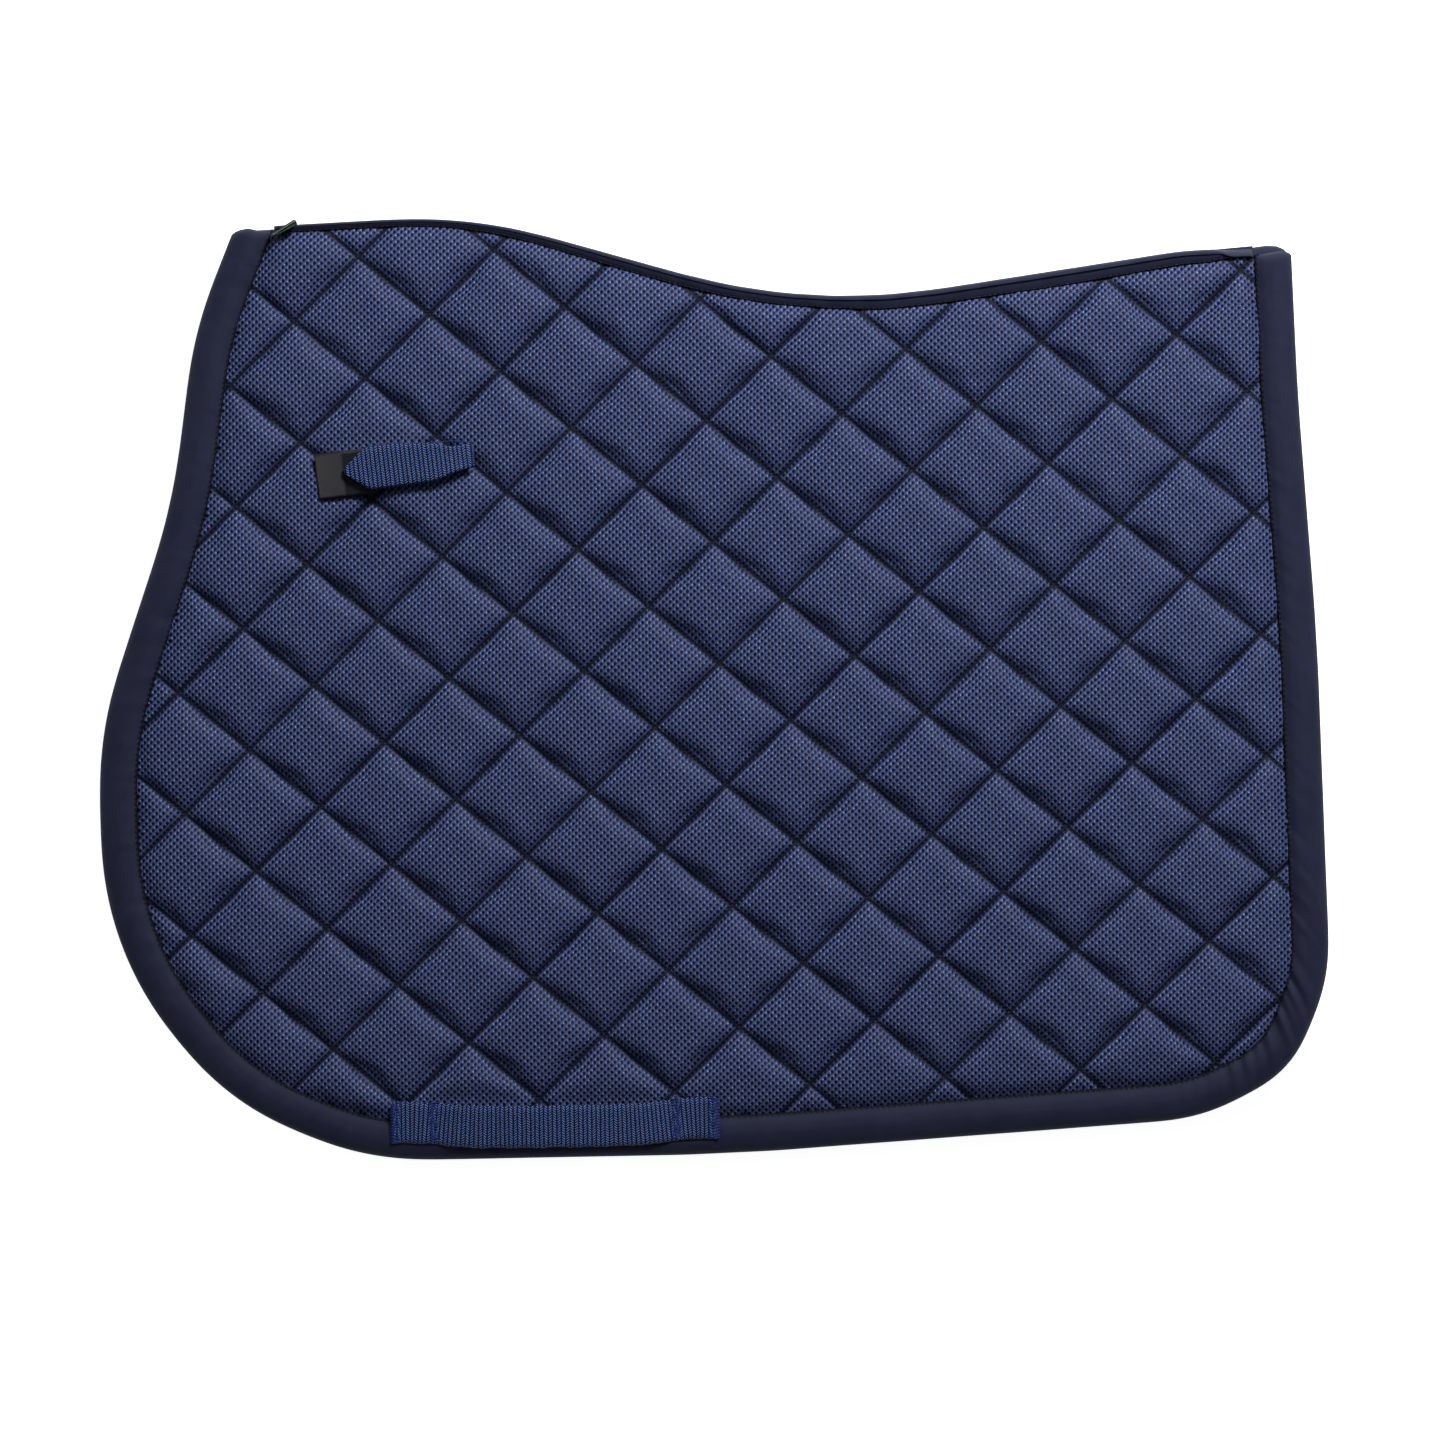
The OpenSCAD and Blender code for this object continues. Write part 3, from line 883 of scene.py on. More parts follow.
def pressed_out(points, quads, sewn, start):
    """Lets pressure fill a slightly loose cloth between its sewn lines, and gives each point's move."""
    scene = bpy.context.scene
    piece = new_piece("loose_cloth", np.column_stack([points, start]), quads)
    group = piece.vertex_groups.new(name="sewn")
    group.add(np.flatnonzero(sewn).tolist(), 1.0, "REPLACE")
    modifier = piece.modifiers.new("Cloth", "CLOTH")
    settings = modifier.settings
    for key, value in {
            "quality": 6, "mass": 0.2, "tension_stiffness": 15, "compression_stiffness": 15,
            "shear_stiffness": 5, "bending_stiffness": 0.3, "air_damping": 8,
            "vertex_group_mass": "sewn", "pin_stiffness": 1, "shrink_min": -0.012,
            "use_pressure": True, "uniform_pressure_force": 3}.items():
        setattr(settings, key, value)
    settings.effector_weights.gravity = 0
    modifier.collision_settings.use_collision = False
    modifier.point_cache.frame_start, modifier.point_cache.frame_end = 1, CLOTH_FRAMES
    for step in range(1, CLOTH_FRAMES + 1):
        scene.frame_set(step)
    shape = piece.evaluated_get(bpy.context.evaluated_depsgraph_get()).to_mesh()
    moved = np.empty(len(shape.vertices) * 3)
    shape.vertices.foreach_get("co", moved)
    scene.frame_set(1)
    bpy.data.objects.remove(piece)
    return moved.reshape(-1, 3) / MM - np.column_stack([points, start])


class Relief:
    """The puffed shape of the quilting on one half: each mesh point's rise and its sideways move."""

    def __init__(self, side, context):
        half = half_of(side)
        sizes, trim = context.scene.pad_quilt, context.scene.pad_trim
        self.quilt = Quilt(sizes)
        band = half.band(half.spine)
        edge_w = trim.edge_w / MM
        self.window = half.window(edge_w, band)
        tucked = 6
        outer = half.window(edge_w - tucked, np.minimum(band - 1.4, tucked))
        self.points, self.places, self.depth, self.quads = self.quilt.mesh(self.window, outer)
        self.rise = plain_puffs(self.quilt, self.places, self.depth)
        self.move = np.zeros_like(self.points)
        self.pressed = {}
        self.pressed = self.press() if side == NEAR else relief_of(NEAR, context).pressed
        self.take(self.pressed)

    def keys(self):
        return [tuple(k) for k in np.round(self.places * 1000).astype(int)]

    def press(self):
        """Simulates the near half's cloth, for both halves, which are quilted alike."""
        away = abs(self.places - np.round(self.places))
        sewn = (away.min(1) < 1e-4) | (self.depth <= 0)
        full, most_moved = 6.4, 1.5
        moved = pressed_out(self.points, self.quads, sewn, full * self.rise)
        rise = np.clip(self.rise + np.clip(moved[:, 2], -most_moved, most_moved) / full, 0, 1.15)
        return {key: (r, m) for key, r, m in zip(self.keys(), rise, np.clip(moved[:, :2], -1, 1))}

    def take(self, pressed):
        for k, key in enumerate(self.keys()):
            if key in pressed and self.depth[k] > 0:
                self.rise[k], self.move[k] = pressed[key]


def relief_of(side, context):
    return shared("relief " + side, Relief, side, context)


def outer_heights(side, context, points, depth, rise):
    """The outer cloth's height above the half's inner face."""
    sizes = context.scene.pad_quilt
    valley, puff = sizes.valley / MM, sizes.puff / MM
    if side == FAR:
        valley, puff = valley + 0.4, 9.75 - valley - 0.4
    lean = 0.35 * wave(points[:, 0] / 160, 21) * wave(points[:, 1] / 190, 22) if side == NEAR else 0
    return half_of(side).pressed(points, valley + (puff + lean) * rise - 1.2 * smoothstep(-depth / 5))


def build_panel(side, context):
    """A half's outer cloth and wadding as one stuffed panel."""
    half, relief = half_of(side), relief_of(side, context)
    height = outer_heights(side, context, relief.points, relief.depth, relief.rise)
    piece = new_piece(side + "_quilted_panel",
                      half.raised(relief.points + relief.move, height), relief.quads,
                      relief.points * MM, cloth("knit", context))
    subdivided(piece)
    shape = bmesh.new()
    shape.from_mesh(piece.data)
    rim = [e for e in shape.edges if e.is_boundary]
    made = bmesh.ops.extrude_edge_only(shape, edges=rim)["geom"]
    for v in (g for g in made if isinstance(g, bmesh.types.BMVert)):
        v.co.z = half.z(3.4) * MM
    bmesh.ops.contextual_create(shape, geom=[g for g in made if isinstance(g, bmesh.types.BMEdge)])
    bmesh.ops.triangulate(shape, faces=[f for f in shape.faces if len(f.verts) > 4])
    shape.to_mesh(piece.data)
    shape.free()
    return facing_out(piece)


def build_lining(side, context):
    """A half's lining, which the quilting pulls in from the inner face."""
    half, relief = half_of(side), relief_of(side, context)
    heights = 0.35 + 2.7 * (1 - relief.rise) * smoothstep(relief.depth / 4 + 1)
    piece = new_piece(side + "_lining_cloth", half.raised(relief.points, heights), relief.quads,
                      relief.points * MM, cloth("lining", context))
    return facing(piece, (0, 0, -half.outward))


# -------- bindings

def section(corners, count, reach):
    """An evenly spaced, eased line through a few corner points."""
    corners = np.array(corners, float)
    return smoothed(part_between(corners, 0, lengths_along(corners)[-1], count), reach)


def strip(name, rows, z, along, across, material):
    """A strip of cloth from rows of plan points and their z."""
    count, width = rows.shape[:2]
    place = np.concatenate([rows, z[..., None]], -1).reshape(-1, 3)
    uv = np.stack(np.broadcast_arrays(along[:, None], across[None]), -1).reshape(-1, 2) * MM
    return new_piece(name, place, grid_faces(count, width), uv, material)


def pinched(along, reach=5.0):
    """1 along a strip, falling round to almost 0 at its two closed ends."""
    end = np.clip(np.minimum(along, along[-1] - along) / reach, 0, 1)
    return np.sqrt(np.clip(1 - (1 - end) ** 2, 0.0004, 1))


def build_edge_binding(side, context):
    """The binding round a half's front, bottom and rear, gathered where it turns its corners."""
    half = half_of(side)
    w = context.scene.pad_trim.edge_w / MM
    top = [(w - 4, 7.0), (w - 0.3, 7.1), (w, 7.7), (w - 0.6, 8.3), (w - 1.7, 7.6), (w - 3, 8.7),
           (w - 6, 10.2), (w - 11, 10.85), (8, 10.3), (4.2, 9.2), (1.6, 7.4), (0.25, 5.4)]
    under = [(0.9, 2.9), (3, 1.0), (6.5, 0.2), (w - 3, 0.15), (w, 0.15), (w, 0.8), (w - 3, 1.0)]
    profile = section(top + under, 62, 2)
    profile[:, 0] = np.maximum(profile[:, 0], 0.05)
    if side == NEAR:
        front = np.interp(profile[:, 0], [0, 1.5, 4, 8, 15, w], [4.2, 2.2, 0.8, 0.1, 2.0, 3.2])
        rear = np.interp(profile[:, 0], [0, 1.5, 4, 8, w], [4.0, 2.0, 0.9, 0.8, 3.2])
    else:
        front = np.full(len(profile), 0.5)
        rear = np.interp(profile[:, 0], [0, 2, 6, 12, w], [5.5, 3.0, 0.9, 0.1, 0.6])
    rows = np.stack([half.side_at(x, f, r) for x, f, r in zip(profile[:, 0], front, rear)], 1)
    along = lengths_along(rows[:, 0])
    path = np.gradient(rows[:, len(profile) // 3], axis=0)
    bend = np.gradient(np.unwrap(np.arctan2(path[:, 1], path[:, 0])), along)
    reach, least_bend, more_bend = 41, 0.0055, 0.006
    bend = np.convolve(abs(bend), np.ones(reach) / reach, "same")
    gather = smoothstep((bend - least_bend) / more_bend)
    upper = profile[:, 1] > half.thick / 2
    inward = smoothstep(profile[:, 0] / w)
    skewed = along[:, None] + 0.55 * (w - profile[None, :, 0])
    pucker_every, crease_every, billow_every = 10.5, 48.0, 75.0
    pucker = (0.12 + 1.05 * gather[:, None]) * wave(skewed / pucker_every, 11) * (
        inward * smoothstep((w + 1.0 - profile[:, 0]) / 3))[None]
    crease = 0.55 * np.maximum(wave(skewed / crease_every, 17, 4) - 0.7, 0) * inward[None]
    billow = 0.3 * wave(along / billow_every, 5)[:, None] * (1 - inward[None] ** 3)
    heights = profile[None, :, 1] + (pucker - crease + billow) * upper[None]
    heights = half.pressed(rows.reshape(-1, 2), heights.ravel()).reshape(heights.shape)
    middle = half.thick / 2
    heights = middle + (heights - middle) * pinched(along)[:, None]
    if side == FAR:
        heights = np.minimum(heights, half.thick - 0.05)
    across = lengths_along(profile)
    # v is 0 at the inner edge, where the binding cloth paints its seam shade
    shaded_seam = np.argmax(profile[:, 0] + 0.1 * profile[:, 1])
    piece = strip(side + "_edge_binding_cloth", rows, half.z(np.maximum(heights, 0.12)), along,
                  across - across[shaded_seam], cloth("binding", context))
    return piece, (across[-1] * MM, lengths_along(rows[:, len(profile) // 2])[-1] * MM)


def binding_stitch_line(side, context, inset, height):
    """The row of stitches that holds a half's edge binding."""
    half = half_of(side)
    w = context.scene.pad_trim.edge_w / MM
    line = half.side_at(w - inset, *((3.0, 3.4) if side == NEAR else (1.5, 1.5)), 800)
    return half.raised(line, half.pressed(line, np.full(len(line), height)))


def build_spine_binding(context, inner):
    """The binding along the spine: over both edges outside, or along the crease between the linings."""
    halves = {side: half_of(side) for side in SIDES}
    near, far = halves[NEAR], halves[FAR]
    w = context.scene.pad_trim.edge_w / MM
    count = 460
    lines = {}
    for side, half in halves.items():
        rear = half.side_at(w - (1.5 if side == NEAR else 3))[-1]
        ends = places_on(half.spine, rear, half.side_at(w - 1.5)[0])
        lines[side] = [part_between(line, *ends, count) for line in (half.spine, half.spine_normals)]
    (near_line, normal), far_line = lines[NEAR], lines[FAR][0]
    width = near.band(near_line)
    # The section: on a half, a share of the width and a height; between them, a share or an angle
    if inner:
        shape = [(NEAR, s, h) for s, h in ((1.3, 0.8), (1.3, 0.2), (1.0, 0.12), (0.5, 0.12), (0.0, 0.12))]
        shape += [(None, -0.02, 0.5)]
        shape += [(FAR, s, h) for _, s, h in reversed(shape[:-1])]
    else:
        shape = [(NEAR, s, h) for s, h in ((0.82, 6.9), (0.99, 7.1), (1.0, 8.0), (0.9, 8.5), (0.72, 9.1),
                                           (0.5, 9.6), (0.33, 9.8))]
        shape += [(None, a, 0) for a in np.linspace(0, math.pi, 20)]
        shape += [(FAR, s, h) for s, h in ((0.33, 9.85), (0.5, 9.85), (0.72, 9.6), (0.9, 9.0), (1.0, 8.2),
                                           (0.99, 7.1), (0.82, 6.9))]
    top, bottom = near.z(9.8), far.z(9.8)
    middle, reach = (top + bottom) / 2, (top - bottom) / 2
    dip = 3.0 * smoothstep((near.share(near_line[:, 0]) - 0.925) / 0.02)
    columns = []
    for side, place, height in shape:
        if side:
            spot, away = lines[side]
            inset = place * (7.5 if inner else width)
            if not inner and side == NEAR:
                inset = np.maximum(inset, dip + place)
            z = halves[side].z(height)
        elif inner:
            spot, away, inset, z = (near_line + far_line) / 2, normal, -place, middle
        else:
            lean = 0.5 + 0.5 * math.cos(place)
            spot, away = near_line * lean + far_line * (1 - lean), normal
            inset = (0.33 * width * (1 - math.sin(place) ** 0.62) + dip * lean ** 2
                     - 0.7 * math.sin(place))
            z = middle + reach * math.copysign(abs(math.cos(place)) ** 0.75, math.cos(place))
        columns.append(np.column_stack([spot + away * np.reshape(inset, (-1, 1)), np.full(count, z)]))
    rows = np.stack(columns, 1)
    along = lengths_along(rows[:, len(shape) // 2, :2])
    if not inner:
        rows[..., 2] += 0.22 * wave(along / 21.0, 3)[:, None] * (rows[..., 2] > middle + 2)
        rows[..., 2] = middle + (rows[..., 2] - middle) * pinched(along, 3.0)[:, None]
        rows[..., 2] = np.maximum(rows[..., 2], 0.05)
    across = lengths_along(rows[count // 2])
    # The binding cloth paints its seam shade where v is 0, 1.2 mm into the outer binding
    piece = strip("spine_lining_tape" if inner else "spine_binding_cloth", rows[..., :2], rows[..., 2],
                  along, across - (0 if inner else 1.2), cloth("binding", context))
    return piece, (across[-1] * MM, along[-1] * MM)


# -------- webbing and tapes

def ribbon(name, path, thick, material, above, below, lift=None):
    """A closed strip along a path of points, with rounded edges: above and below are its reach to
    each side of the path, and lift(share) raises it from edge to edge."""
    path = np.asarray(path, float)
    count = len(path)
    tangent = unit(np.gradient(path, axis=0))
    side = np.tile([0.0, 1.0, 0.0], (count, 1))
    side = unit(side - tangent * np.sum(side * tangent, 1)[:, None])
    normal = np.cross(tangent, side)
    shares = np.linspace(-1, 1, 14)
    ease = np.sqrt(np.clip(1 - abs(shares) ** 14, 0, 1)) / 2
    ring = [*zip(shares, ease), *[*zip(shares, -ease)][-2:0:-1]]
    points, uv = [], []
    for share, height in ring:
        reach = np.broadcast_to(share * (above if share > 0 else below), count)
        rise = height * thick + (lift(share) if lift else 0)
        points.append(path + side * reach[:, None] + normal * np.broadcast_to(rise, count)[:, None])
        uv.append(np.stack([lengths_along(path), reach], 1))
    return new_piece(name, np.stack(points, 1).reshape(-1, 3), tube_faces(count, len(ring)),
                     np.stack(uv, 1).reshape(-1, 2) * MM, material)


def laid(points, half, foot, centre, turn):
    """Moves points drawn flat, with their foot at 0, to their place on a half."""
    return half.raised(turned(points, centre, turn), foot + points[:, 2])


def placed(piece, half, foot, centre, turn):
    """Moves a piece drawn flat, with its foot at 0, to its place on a half."""
    points = np.array([v.co[:] for v in piece.data.vertices]) / MM
    for v, place in zip(piece.data.vertices, laid(points, half, foot, centre, turn)):
        v.co = place * MM
    return facing_out(piece)


def bar_tack(x, half_width, z, lean=1.3):
    """Short threads side by side across a strap, each given as a start and a direction."""
    spots = np.arange(-half_width, half_width, 0.85)
    return [np.array([[x + 0.15 * (-1) ** k, y, z], [x + lean, y + 0.4 * (-1) ** k, z]])
            for k, y in enumerate(spots)]


def strap_path():
    """The billet strap's middle line in its own frame: the sewn base, the fold, and the flap."""
    base = [(x, 0, 0.95) for x in np.linspace(-36.5, -3, 18)]
    turn = [(1.75 * math.sin(a) - 0.6, 0, 2.55 - 1.6 * math.cos(a))
            for a in np.linspace(0.25, math.pi - 0.2, 9)]
    flap = [(x, FLAP_LEAN * x,
             4.15 + 0.7 * math.sin(math.pi * min(1, -x / 76)) ** 2 - 0.2 * smoothstep((x + 26) / 8))
            for x in np.linspace(-1.5, FLAP_TIP, 56)]
    return base + turn + flap, len(base) + len(turn)


def build_strap(side, context):
    """The billet strap in one length of webbing: base, fold and pointed flap, narrowed at the fold."""
    half = half_of(side)
    path, flap_start = strap_path()
    path = np.array(path)
    x = path[:, 0]
    on_flap = np.arange(len(path)) >= flap_start - 5
    tip = np.where(on_flap, np.clip(2 + (x - FLAP_TIP) * 10.7 / 13.5, 2, 12.7), 11.5)
    if side == NEAR:
        above = np.interp(x, [-50, -40, -23, -17, -11, -6, 0], [12.6, 12.0, 10.6, 8.4, 6.7, 6.5, 7.1])
        below = np.interp(x, [-45, -23, -17, -11, -6, 0], [12.7, 12.6, 11.2, 9.1, 8.1, 7.2])
        tilt = np.where(on_flap, np.interp(x, [-30, -22, -8, -2], [0, 0.8, 1.5, 0.0]), 0)
        above, below = (np.minimum(reach - 1.2 * (1 - on_flap), tip) for reach in (above, below))
        lift = lambda share: -tilt * ((0.5 - 0.5 * share) ** 1.5 + 0.35 * share ** 2)
    else:
        above = below = np.where(on_flap, tip, 12.0)
        lift = None
    piece = ribbon(side + "_strap_webbing", path, 1.7, cloth("webbing", context), above, below, lift)
    return placed(piece, half, *half.on_strap)


def build_girth_loop(side, context):
    """The girth loop: webbing sewn down at both ends, bowed out and sagging between them."""
    half = half_of(side)
    trim = context.scene.pad_trim
    x = np.linspace(-93.3, 93.3, 120)
    span = np.clip(1 - (x / 67.5) ** 2, 0, 1)
    rise = 6.2 * span if side == NEAR else 0.25 * span
    hang = smoothstep(np.clip(1 - (x / 84) ** 2, 0, 1) * 1.15)
    sag = trim.web_sag / MM * hang if side == NEAR else 0 * x
    edge = 0.25 * wave(x / 23, 31)
    path = np.column_stack([x, -sag, 0.95 + rise])
    piece = ribbon(side + "_girth_loop_webbing", path, trim.web_t / MM, cloth("webbing", context),
                   12 + edge, 12 - edge)
    return placed(piece, half, *half.on_loop)


def build_hook_tape(side, context):
    """The hook tape: its end is folded back over itself, and its hooks face up beyond the fold."""
    half = half_of(side)
    path = [(x, 0, 0.4) for x in np.linspace(34, 1.2, 24)]
    path += [(0.6 - 0.62 * math.sin(a), 0, 1.0 - 0.6 * math.cos(a))
             for a in np.linspace(0.3, math.pi - 0.3, 7)]
    path += [(x, 0, 1.6 + 0.25 * math.sin(x / 5)) for x in np.linspace(1.3, 15.5, 12)]
    piece = ribbon(side + "_hook_tape_web", path, 0.65, cloth("tape", context), 13.4, 13.4)
    return placed(piece, half, *half.on_tape)


def hook_tree():
    """Sets small bent hooks on a grid of points."""
    nodes, (points, size, turn, material) = node_group(
        "hook_field", Points="Geometry", Hook="Float", Turn="Vector", Material="Material")
    hook = bent_thread(nodes, 4, 3, 0.13, (0, 0, 0), (0.1, 0, 1.9), (0.7, 0, 0.55))
    spin = nodes.node("FunctionNodeRandomValue", settings={"data_type": "FLOAT_VECTOR"})
    for place, value in ((0, (0, 0, -0.35)), (1, (0, 0, 0.35)), (8, 7)):
        nodes.feed(spin.socket.node.inputs[place], value)
    spun = nodes.node("ShaderNodeVectorMath", turn, spin, settings={"operation": "ADD"})
    return set_out(nodes, points, hook, spun, (size, size, size), material)


def build_hooks(side, context):
    """The field of small hooks on the open part of the hook tape."""
    half = half_of(side)
    grid = np.array([(x + 0.35 * (k % 2), y, 0.7) for k, y in enumerate(np.arange(-11.6, 11.7, 1.05))
                     for x in np.arange(16.6, 33, 1.1)])
    flip = 0 if side == NEAR else math.pi
    return grown(side + "_hooks", laid(grid, half, *half.on_tape), [], shared("hook tree", hook_tree),
                 Hook=0.95 * MM, Turn=(flip, 0, half.on_tape[2]), Material=cloth("hook_plastic", context))


def build_loop_tape(side, context):
    """The loop tape under the flap, cut to the flap's point."""
    half = half_of(side)
    path = np.array([(x, FLAP_LEAN * x, 2.45) for x in np.linspace(-39.5, PILE_TIP, 30)])
    reach = np.clip(1.2 + (path[:, 0] - PILE_TIP) * 9.2 / 12, 1.2, 10.4)
    piece = ribbon(side + "_loop_tape_pile", path, 1.2, cloth("pile", context), reach, reach)
    return placed(piece, half, *half.on_strap)


def build_label(context):
    """The ribbon label: a loop of ribbon standing on its edge, its ends sewn under the binding."""
    half = half_of(NEAR)
    box_low, box_high = low("ribbon_label")[:2], high("ribbon_label")[:2]
    head = box_high - 1.3
    tail = box_low + np.array([0.3, 0.3])
    line = unit(tail - head)
    aim = math.atan2(line[1], line[0])
    reach = math.acos(1.0 / np.linalg.norm(tail - head))
    arc = [head + 0.95 * heading(aim + a) for a in np.linspace(reach, TURN - reach, 26)]
    path = np.array([tail + left(line) * 0.35, *arc, tail - left(line) * 0.35])
    path = smoothed(resampled(path, 0.45), 2)
    foot, top = half.thick - 0.3, half.thick + 7.6
    out = normals_of(path)
    skin = np.linspace(0, 1, 9)
    ring = [*((h, 0.32, h) for h in skin), (1.02, 0, 1),
            *((h, -0.32, h) for h in skin[::-1]), (-0.02, 0, 0)]
    along = lengths_along(path) * MM
    points, uv = [], []
    for h, away, v in ring:
        points.append(np.column_stack([path + out * away + left(line) * 2.2 * h,
                                       np.full(len(path), half.z(foot + (top - foot) * h))]))
        uv.append(np.column_stack([along, np.full(len(path), v)]))
    return facing_out(new_piece(
        "ribbon_label_loop", np.stack(points, 1).reshape(-1, 3), tube_faces(len(path), len(ring)),
        np.stack(uv, 1).reshape(-1, 2), cloth("ribbon", context)))


# -------- operators

class EachSide:
    """Builds the same on each half."""

    def execute(self, context):
        for side in SIDES:
            self.build(context, side, half_of(side))
        return {"FINISHED"}


class PAD_OT_panels(EachSide, bpy.types.Operator):
    """Build the two quilted panels"""
    bl_idname = "pad.panels"
    bl_label = "Quilted panels"

    def build(self, context, side, half):
        piece = build_panel(side, context)
        settled(piece, half.body, "quilt_fabric", side + "_outer_fabric", side + "_wadding")


class PAD_OT_linings(EachSide, bpy.types.Operator):
    """Build the two linings"""
    bl_idname = "pad.linings"
    bl_label = "Linings"

    def build(self, context, side, half):
        piece = settled(build_lining(side, context), half.body, "lining_fabric", side + "_lining")
        ring = relief_of(side, context).window
        turned_in, turned_in_area = 12, 0.012
        area = 0.5 * abs(np.sum(ring[:-1, 0] * ring[1:, 1] - ring[1:, 0] * ring[:-1, 1])) * MM * MM
        float(area + turned_in_area)


class PAD_OT_bindings(bpy.types.Operator):
    """Build the edge bindings and the spine binding"""
    bl_idname = "pad.bindings"
    bl_label = "Bindings"

    def execute(self, context):
        for side in SIDES:
            piece, flat = build_edge_binding(side, context)
            settled(piece, side + "_half", "binding_fabric", side + "_edge_binding")
        for inner in (False, True):
            piece, flat = build_spine_binding(context, inner)
            if not inner:
                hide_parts("near_spine_binding", "far_spine_binding")
            x, y, z = joint("spine_fold")["pos_m"]
            reach = 0.0002 if inner else 0.0032
            z - reach
            z + reach
            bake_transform(piece)
        return {"FINISHED"}


class PAD_OT_quilting(EachSide, bpy.types.Operator):
    """Sew the quilting lines through both panels"""
    bl_idname = "pad.quilting"
    bl_label = "Quilting stitches"

    def build(self, context, side, half):
        relief, step = relief_of(side, context), context.scene.pad_quilt.stitch
        sizes = step, step * 0.86, context.scene.pad_trim.thread
        runs = relief.quilt.lines(relief.window)
        on_top = [outer_heights(side, context, run, np.full(len(run), 50.0), 0.0) + 0.2 for run in runs]
        below = [np.full(len(run), 2.85) for run in runs]
        for name, heights, nodes in (("_quilting_stitches", on_top, [side + "_quilting_thread"]),
                                     ("_lining_stitches", below, [])):
            lines = [half.raised(*line) for line in zip(runs, heights)]
            sewn(context, half, name, lines, sizes, "thread", half.body, *nodes, inner=not nodes)


class PAD_OT_binding_stitches(EachSide, bpy.types.Operator):
    """Sew the bindings down"""
    bl_idname = "pad.binding_stitches"
    bl_label = "Binding stitches"

    def build(self, context, side, half):
        trim = context.scene.pad_trim
        edge = binding_stitch_line(side, context, 1.6, 7.85)
        spine = half.spine_at(half.band(half.spine) * 0.93)
        share = half.share(spine[:, 0])
        spine = spine[(share > 0.05) & (share < 0.95)]
        row = half.raised(spine, np.full(len(spine), 8.55 if side == NEAR else 9.1))
        sizes = trim.stitch, trim.stitch * 0.72, trim.thread
        sewn(context, half, "_binding_stitches", [edge, row], sizes, "thread", half.body,
             side + "_binding_stitching")


class PAD_OT_girth_loops(EachSide, bpy.types.Operator):
    """Build the girth loops and sew them on"""
    bl_idname = "pad.girth_loops"
    bl_label = "Girth loops"

    def build(self, context, side, half):
        settled(build_girth_loop(side, context), half.body, "webbing", side + "_girth_loop")
        lines = [laid(thread, half, *half.on_loop) for end in (-1, 1) for away in (92.6, 70.5)
                 for thread in bar_tack(end * away, 11.2, 1.9, -2.4 * end)]
        sewn(context, half, "_girth_loop_threads", lines, (0.01, 2.5 * MM, 0.6 * MM), "blue_thread",
             half.body, side + "_girth_loop_stitching")


class PAD_OT_billet_straps(EachSide, bpy.types.Operator):
    """Build the billet straps with their hook and loop tapes"""
    bl_idname = "pad.billet_straps"
    bl_label = "Billet straps"

    def build(self, context, side, half):
        strap = build_strap(side, context)
        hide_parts(side + "_strap_base", side + "_strap_flap")
        start, end = ((*half.fold * MM, half.z(half.strap_foot + height) * MM) for height in FOLD_ZONE)
        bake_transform(strap)
        settled(build_loop_tape(side, context), side + "_strap", "loop_tape", side + "_loop_tape")
        settled(build_hook_tape(side, context), half.body, "hook_tape", side + "_hook_tape")
        settled(build_hooks(side, context), half.body, "hook_tape")
        box = [(-34, -9.3), (-5.5, -9.3), (-5.5, 9.3), (-34, 9.3), (-34, -9.3)]
        across = [(-25.2 - 0.06 * y, y - 1.2, 5.3) for y in np.linspace(-7, 10, 12)]
        along = [(x, FLAP_LEAN * x - 7.5, 5.6) for x in np.linspace(-25.5, -37.5, 12)]
        for name, rows, sizes, colour, body, node in (
                ("_strap_base_threads", [[(x, y, 1.85) for x, y in box]], (2.6, 2.0, 0.55), "blue_thread",
                 half.body, side + "_strap_base_stitching"),
                ("_flap_threads", [across, along], (2.3, 1.7, 0.6), "brown_thread",
                 side + "_strap", side + "_flap_stitching")):
            lines = [laid(np.array(row), half, *half.on_strap) for row in rows]
            sewn(context, half, name, lines, [size * MM for size in sizes], colour, body, node)


class PAD_OT_label(bpy.types.Operator):
    """Build the blank ribbon label at the front of the spine"""
    bl_idname = "pad.label"
    bl_label = "Ribbon label"

    def execute(self, context):
        settled(build_label(context), "near_half", "ribbon", "ribbon_label")
        return {"FINISHED"}


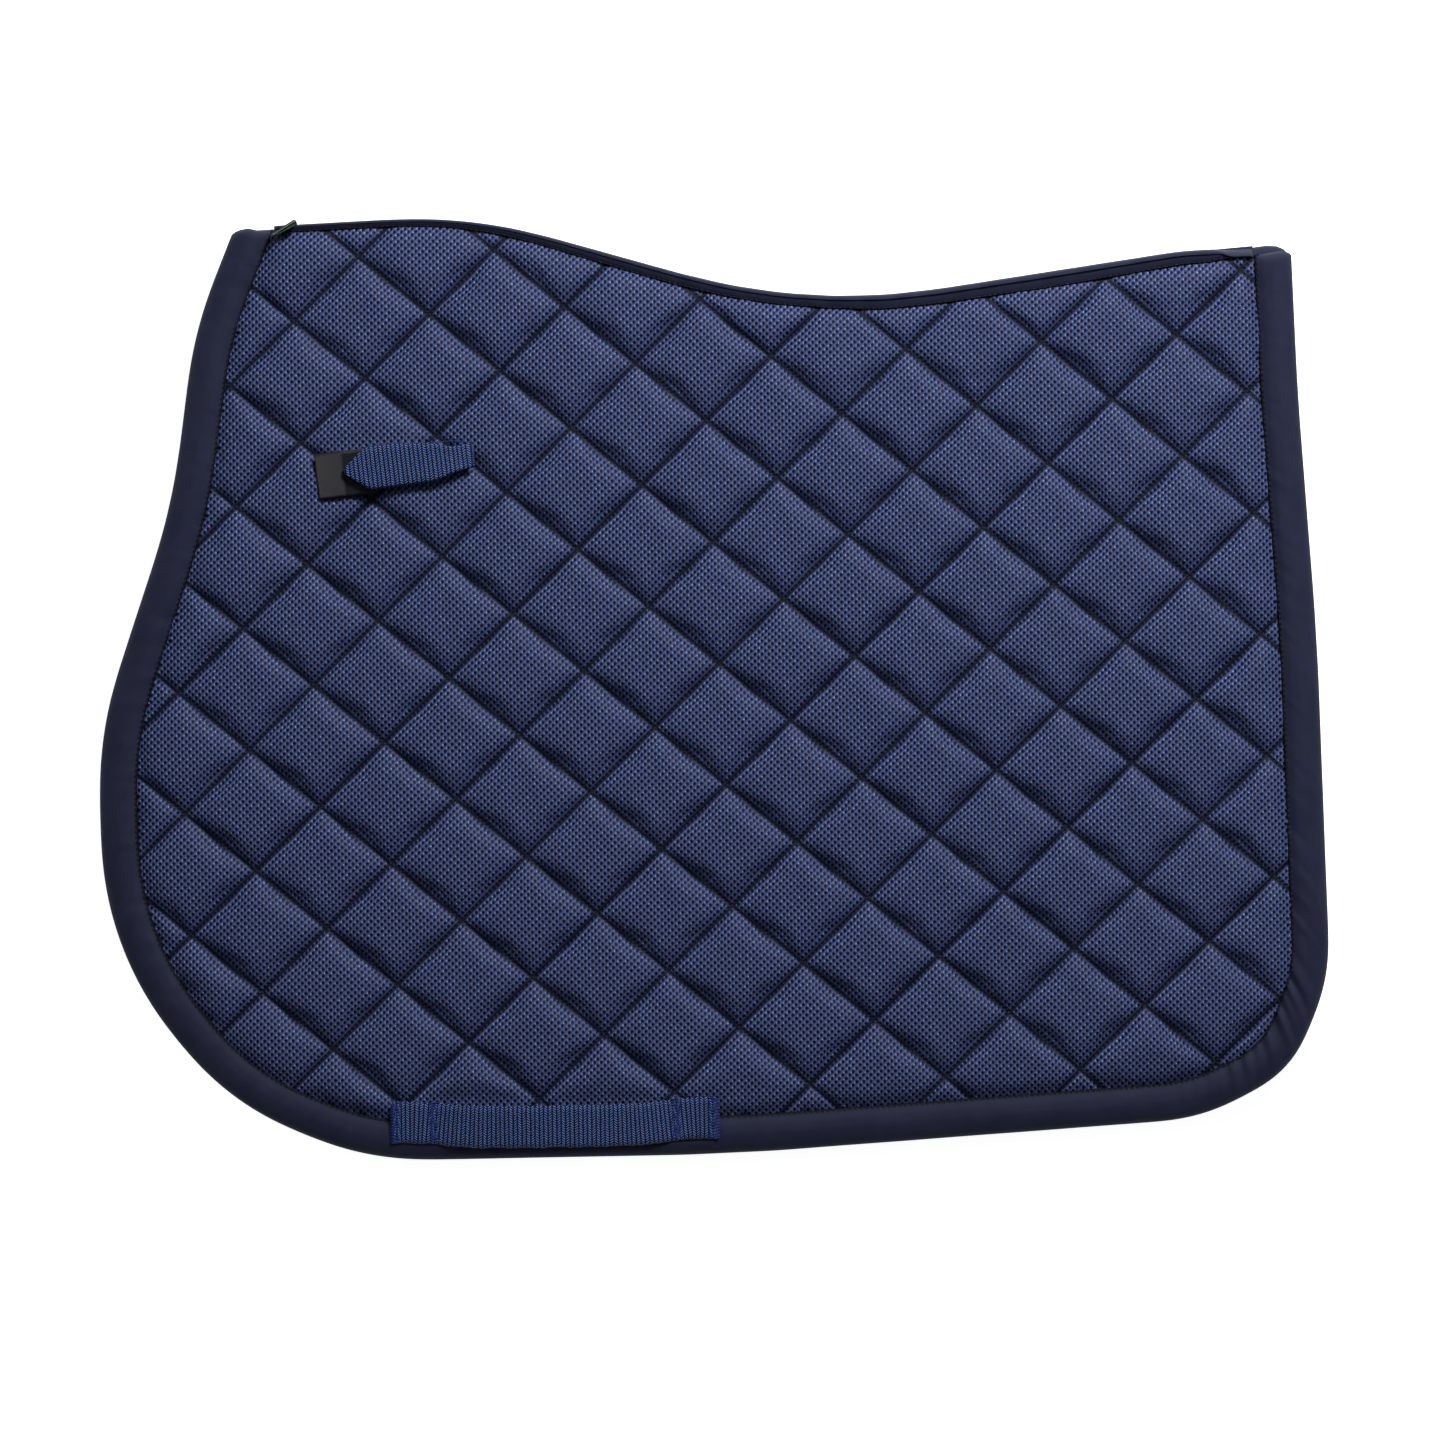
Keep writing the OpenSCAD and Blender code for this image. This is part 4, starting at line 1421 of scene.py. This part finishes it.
class PAD_OT_stage(bpy.types.Operator):
    """Set the floor, the lights and the camera"""
    bl_idname = "pad.stage"
    bl_label = "Floor, lights and camera"

    def execute(self, context):
        reach, foot = 4000, -0.5
        corners = [(x * reach, y * reach, foot) for x, y in ((-1, -1), (1, -1), (1, 1), (-1, 1))]
        floor = new_piece("floor", corners, [(0, 1, 2, 3)], None, cloth("floor", context))
        world = bpy.data.worlds.new("studio")
        context.scene.world = world
        world.use_nodes = True
        sky = world.node_tree.nodes["Background"]
        sky.inputs["Color"].default_value = (0.97, 0.98, 1.0, 1)
        sky.inputs["Strength"].default_value = 0.13
        lamps = (("key", (0.75, 1.6, 1.45), 0.6, 67), ("fill", (-1.3, 0.9, 1.6), 1.2, 5))
        for name, place, size, power in lamps:
            lamp = bpy.data.lights.new(name, "AREA")
            lamp.size, lamp.energy = size, power
            holder = bpy.data.objects.new(name, lamp)
            holder.location = place
            holder.rotation_euler = (-Vector(place)).to_track_quat("-Z", "Y").to_euler()
            context.scene.collection.objects.link(holder)
        lens = bpy.data.cameras.new("camera")
        height, span, film = 3.0, 0.830875, 36
        lens.sensor_width = film
        lens.lens = film * height / span
        camera = bpy.data.objects.new("camera", lens)
        camera.location = (0.0052, -0.0181, height + 0.018)
        context.scene.collection.objects.link(camera)
        context.scene.camera = camera
        context.scene.view_settings.view_transform = "Standard"
        return {"FINISHED"}


class PAD_PT_sidebar(bpy.types.Panel):
    """Lists the pad's steps and sizes"""
    bl_idname = "PAD_PT_sidebar"
    bl_label = "Saddle pad"
    bl_space_type = "VIEW_3D"
    bl_region_type = "UI"
    bl_category = "Saddle pad"

    def draw(self, context):
        for step in STEPS:
            self.layout.operator(step.bl_idname)
        for key, kind in GROUPS.items():
            for name in kind.__annotations__:
                self.layout.prop(getattr(context.scene, key), name)


STEPS = [PAD_OT_stage, PAD_OT_panels, PAD_OT_linings, PAD_OT_bindings, PAD_OT_quilting,
         PAD_OT_binding_stitches, PAD_OT_girth_loops, PAD_OT_billet_straps, PAD_OT_label]
GROUPS = {"pad_quilt": QuiltSizes, "pad_trim": TrimSizes, "pad_colours": ClothColours}
CLASSES = [*GROUPS.values(), *STEPS, PAD_PT_sidebar]


def register():
    for item in CLASSES:
        bpy.utils.register_class(item)
    for name, kind in GROUPS.items():
        setattr(bpy.types.Scene, name, bpy.props.PointerProperty(type=kind))


def unregister():
    for name in GROUPS:
        delattr(bpy.types.Scene, name)
    for item in reversed(CLASSES):
        bpy.utils.unregister_class(item)


def main():
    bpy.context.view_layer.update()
    register()
    for step in STEPS:
        getattr(bpy.ops.pad, step.bl_idname.split(".")[1])()


if __name__ == "__main__":
    main()
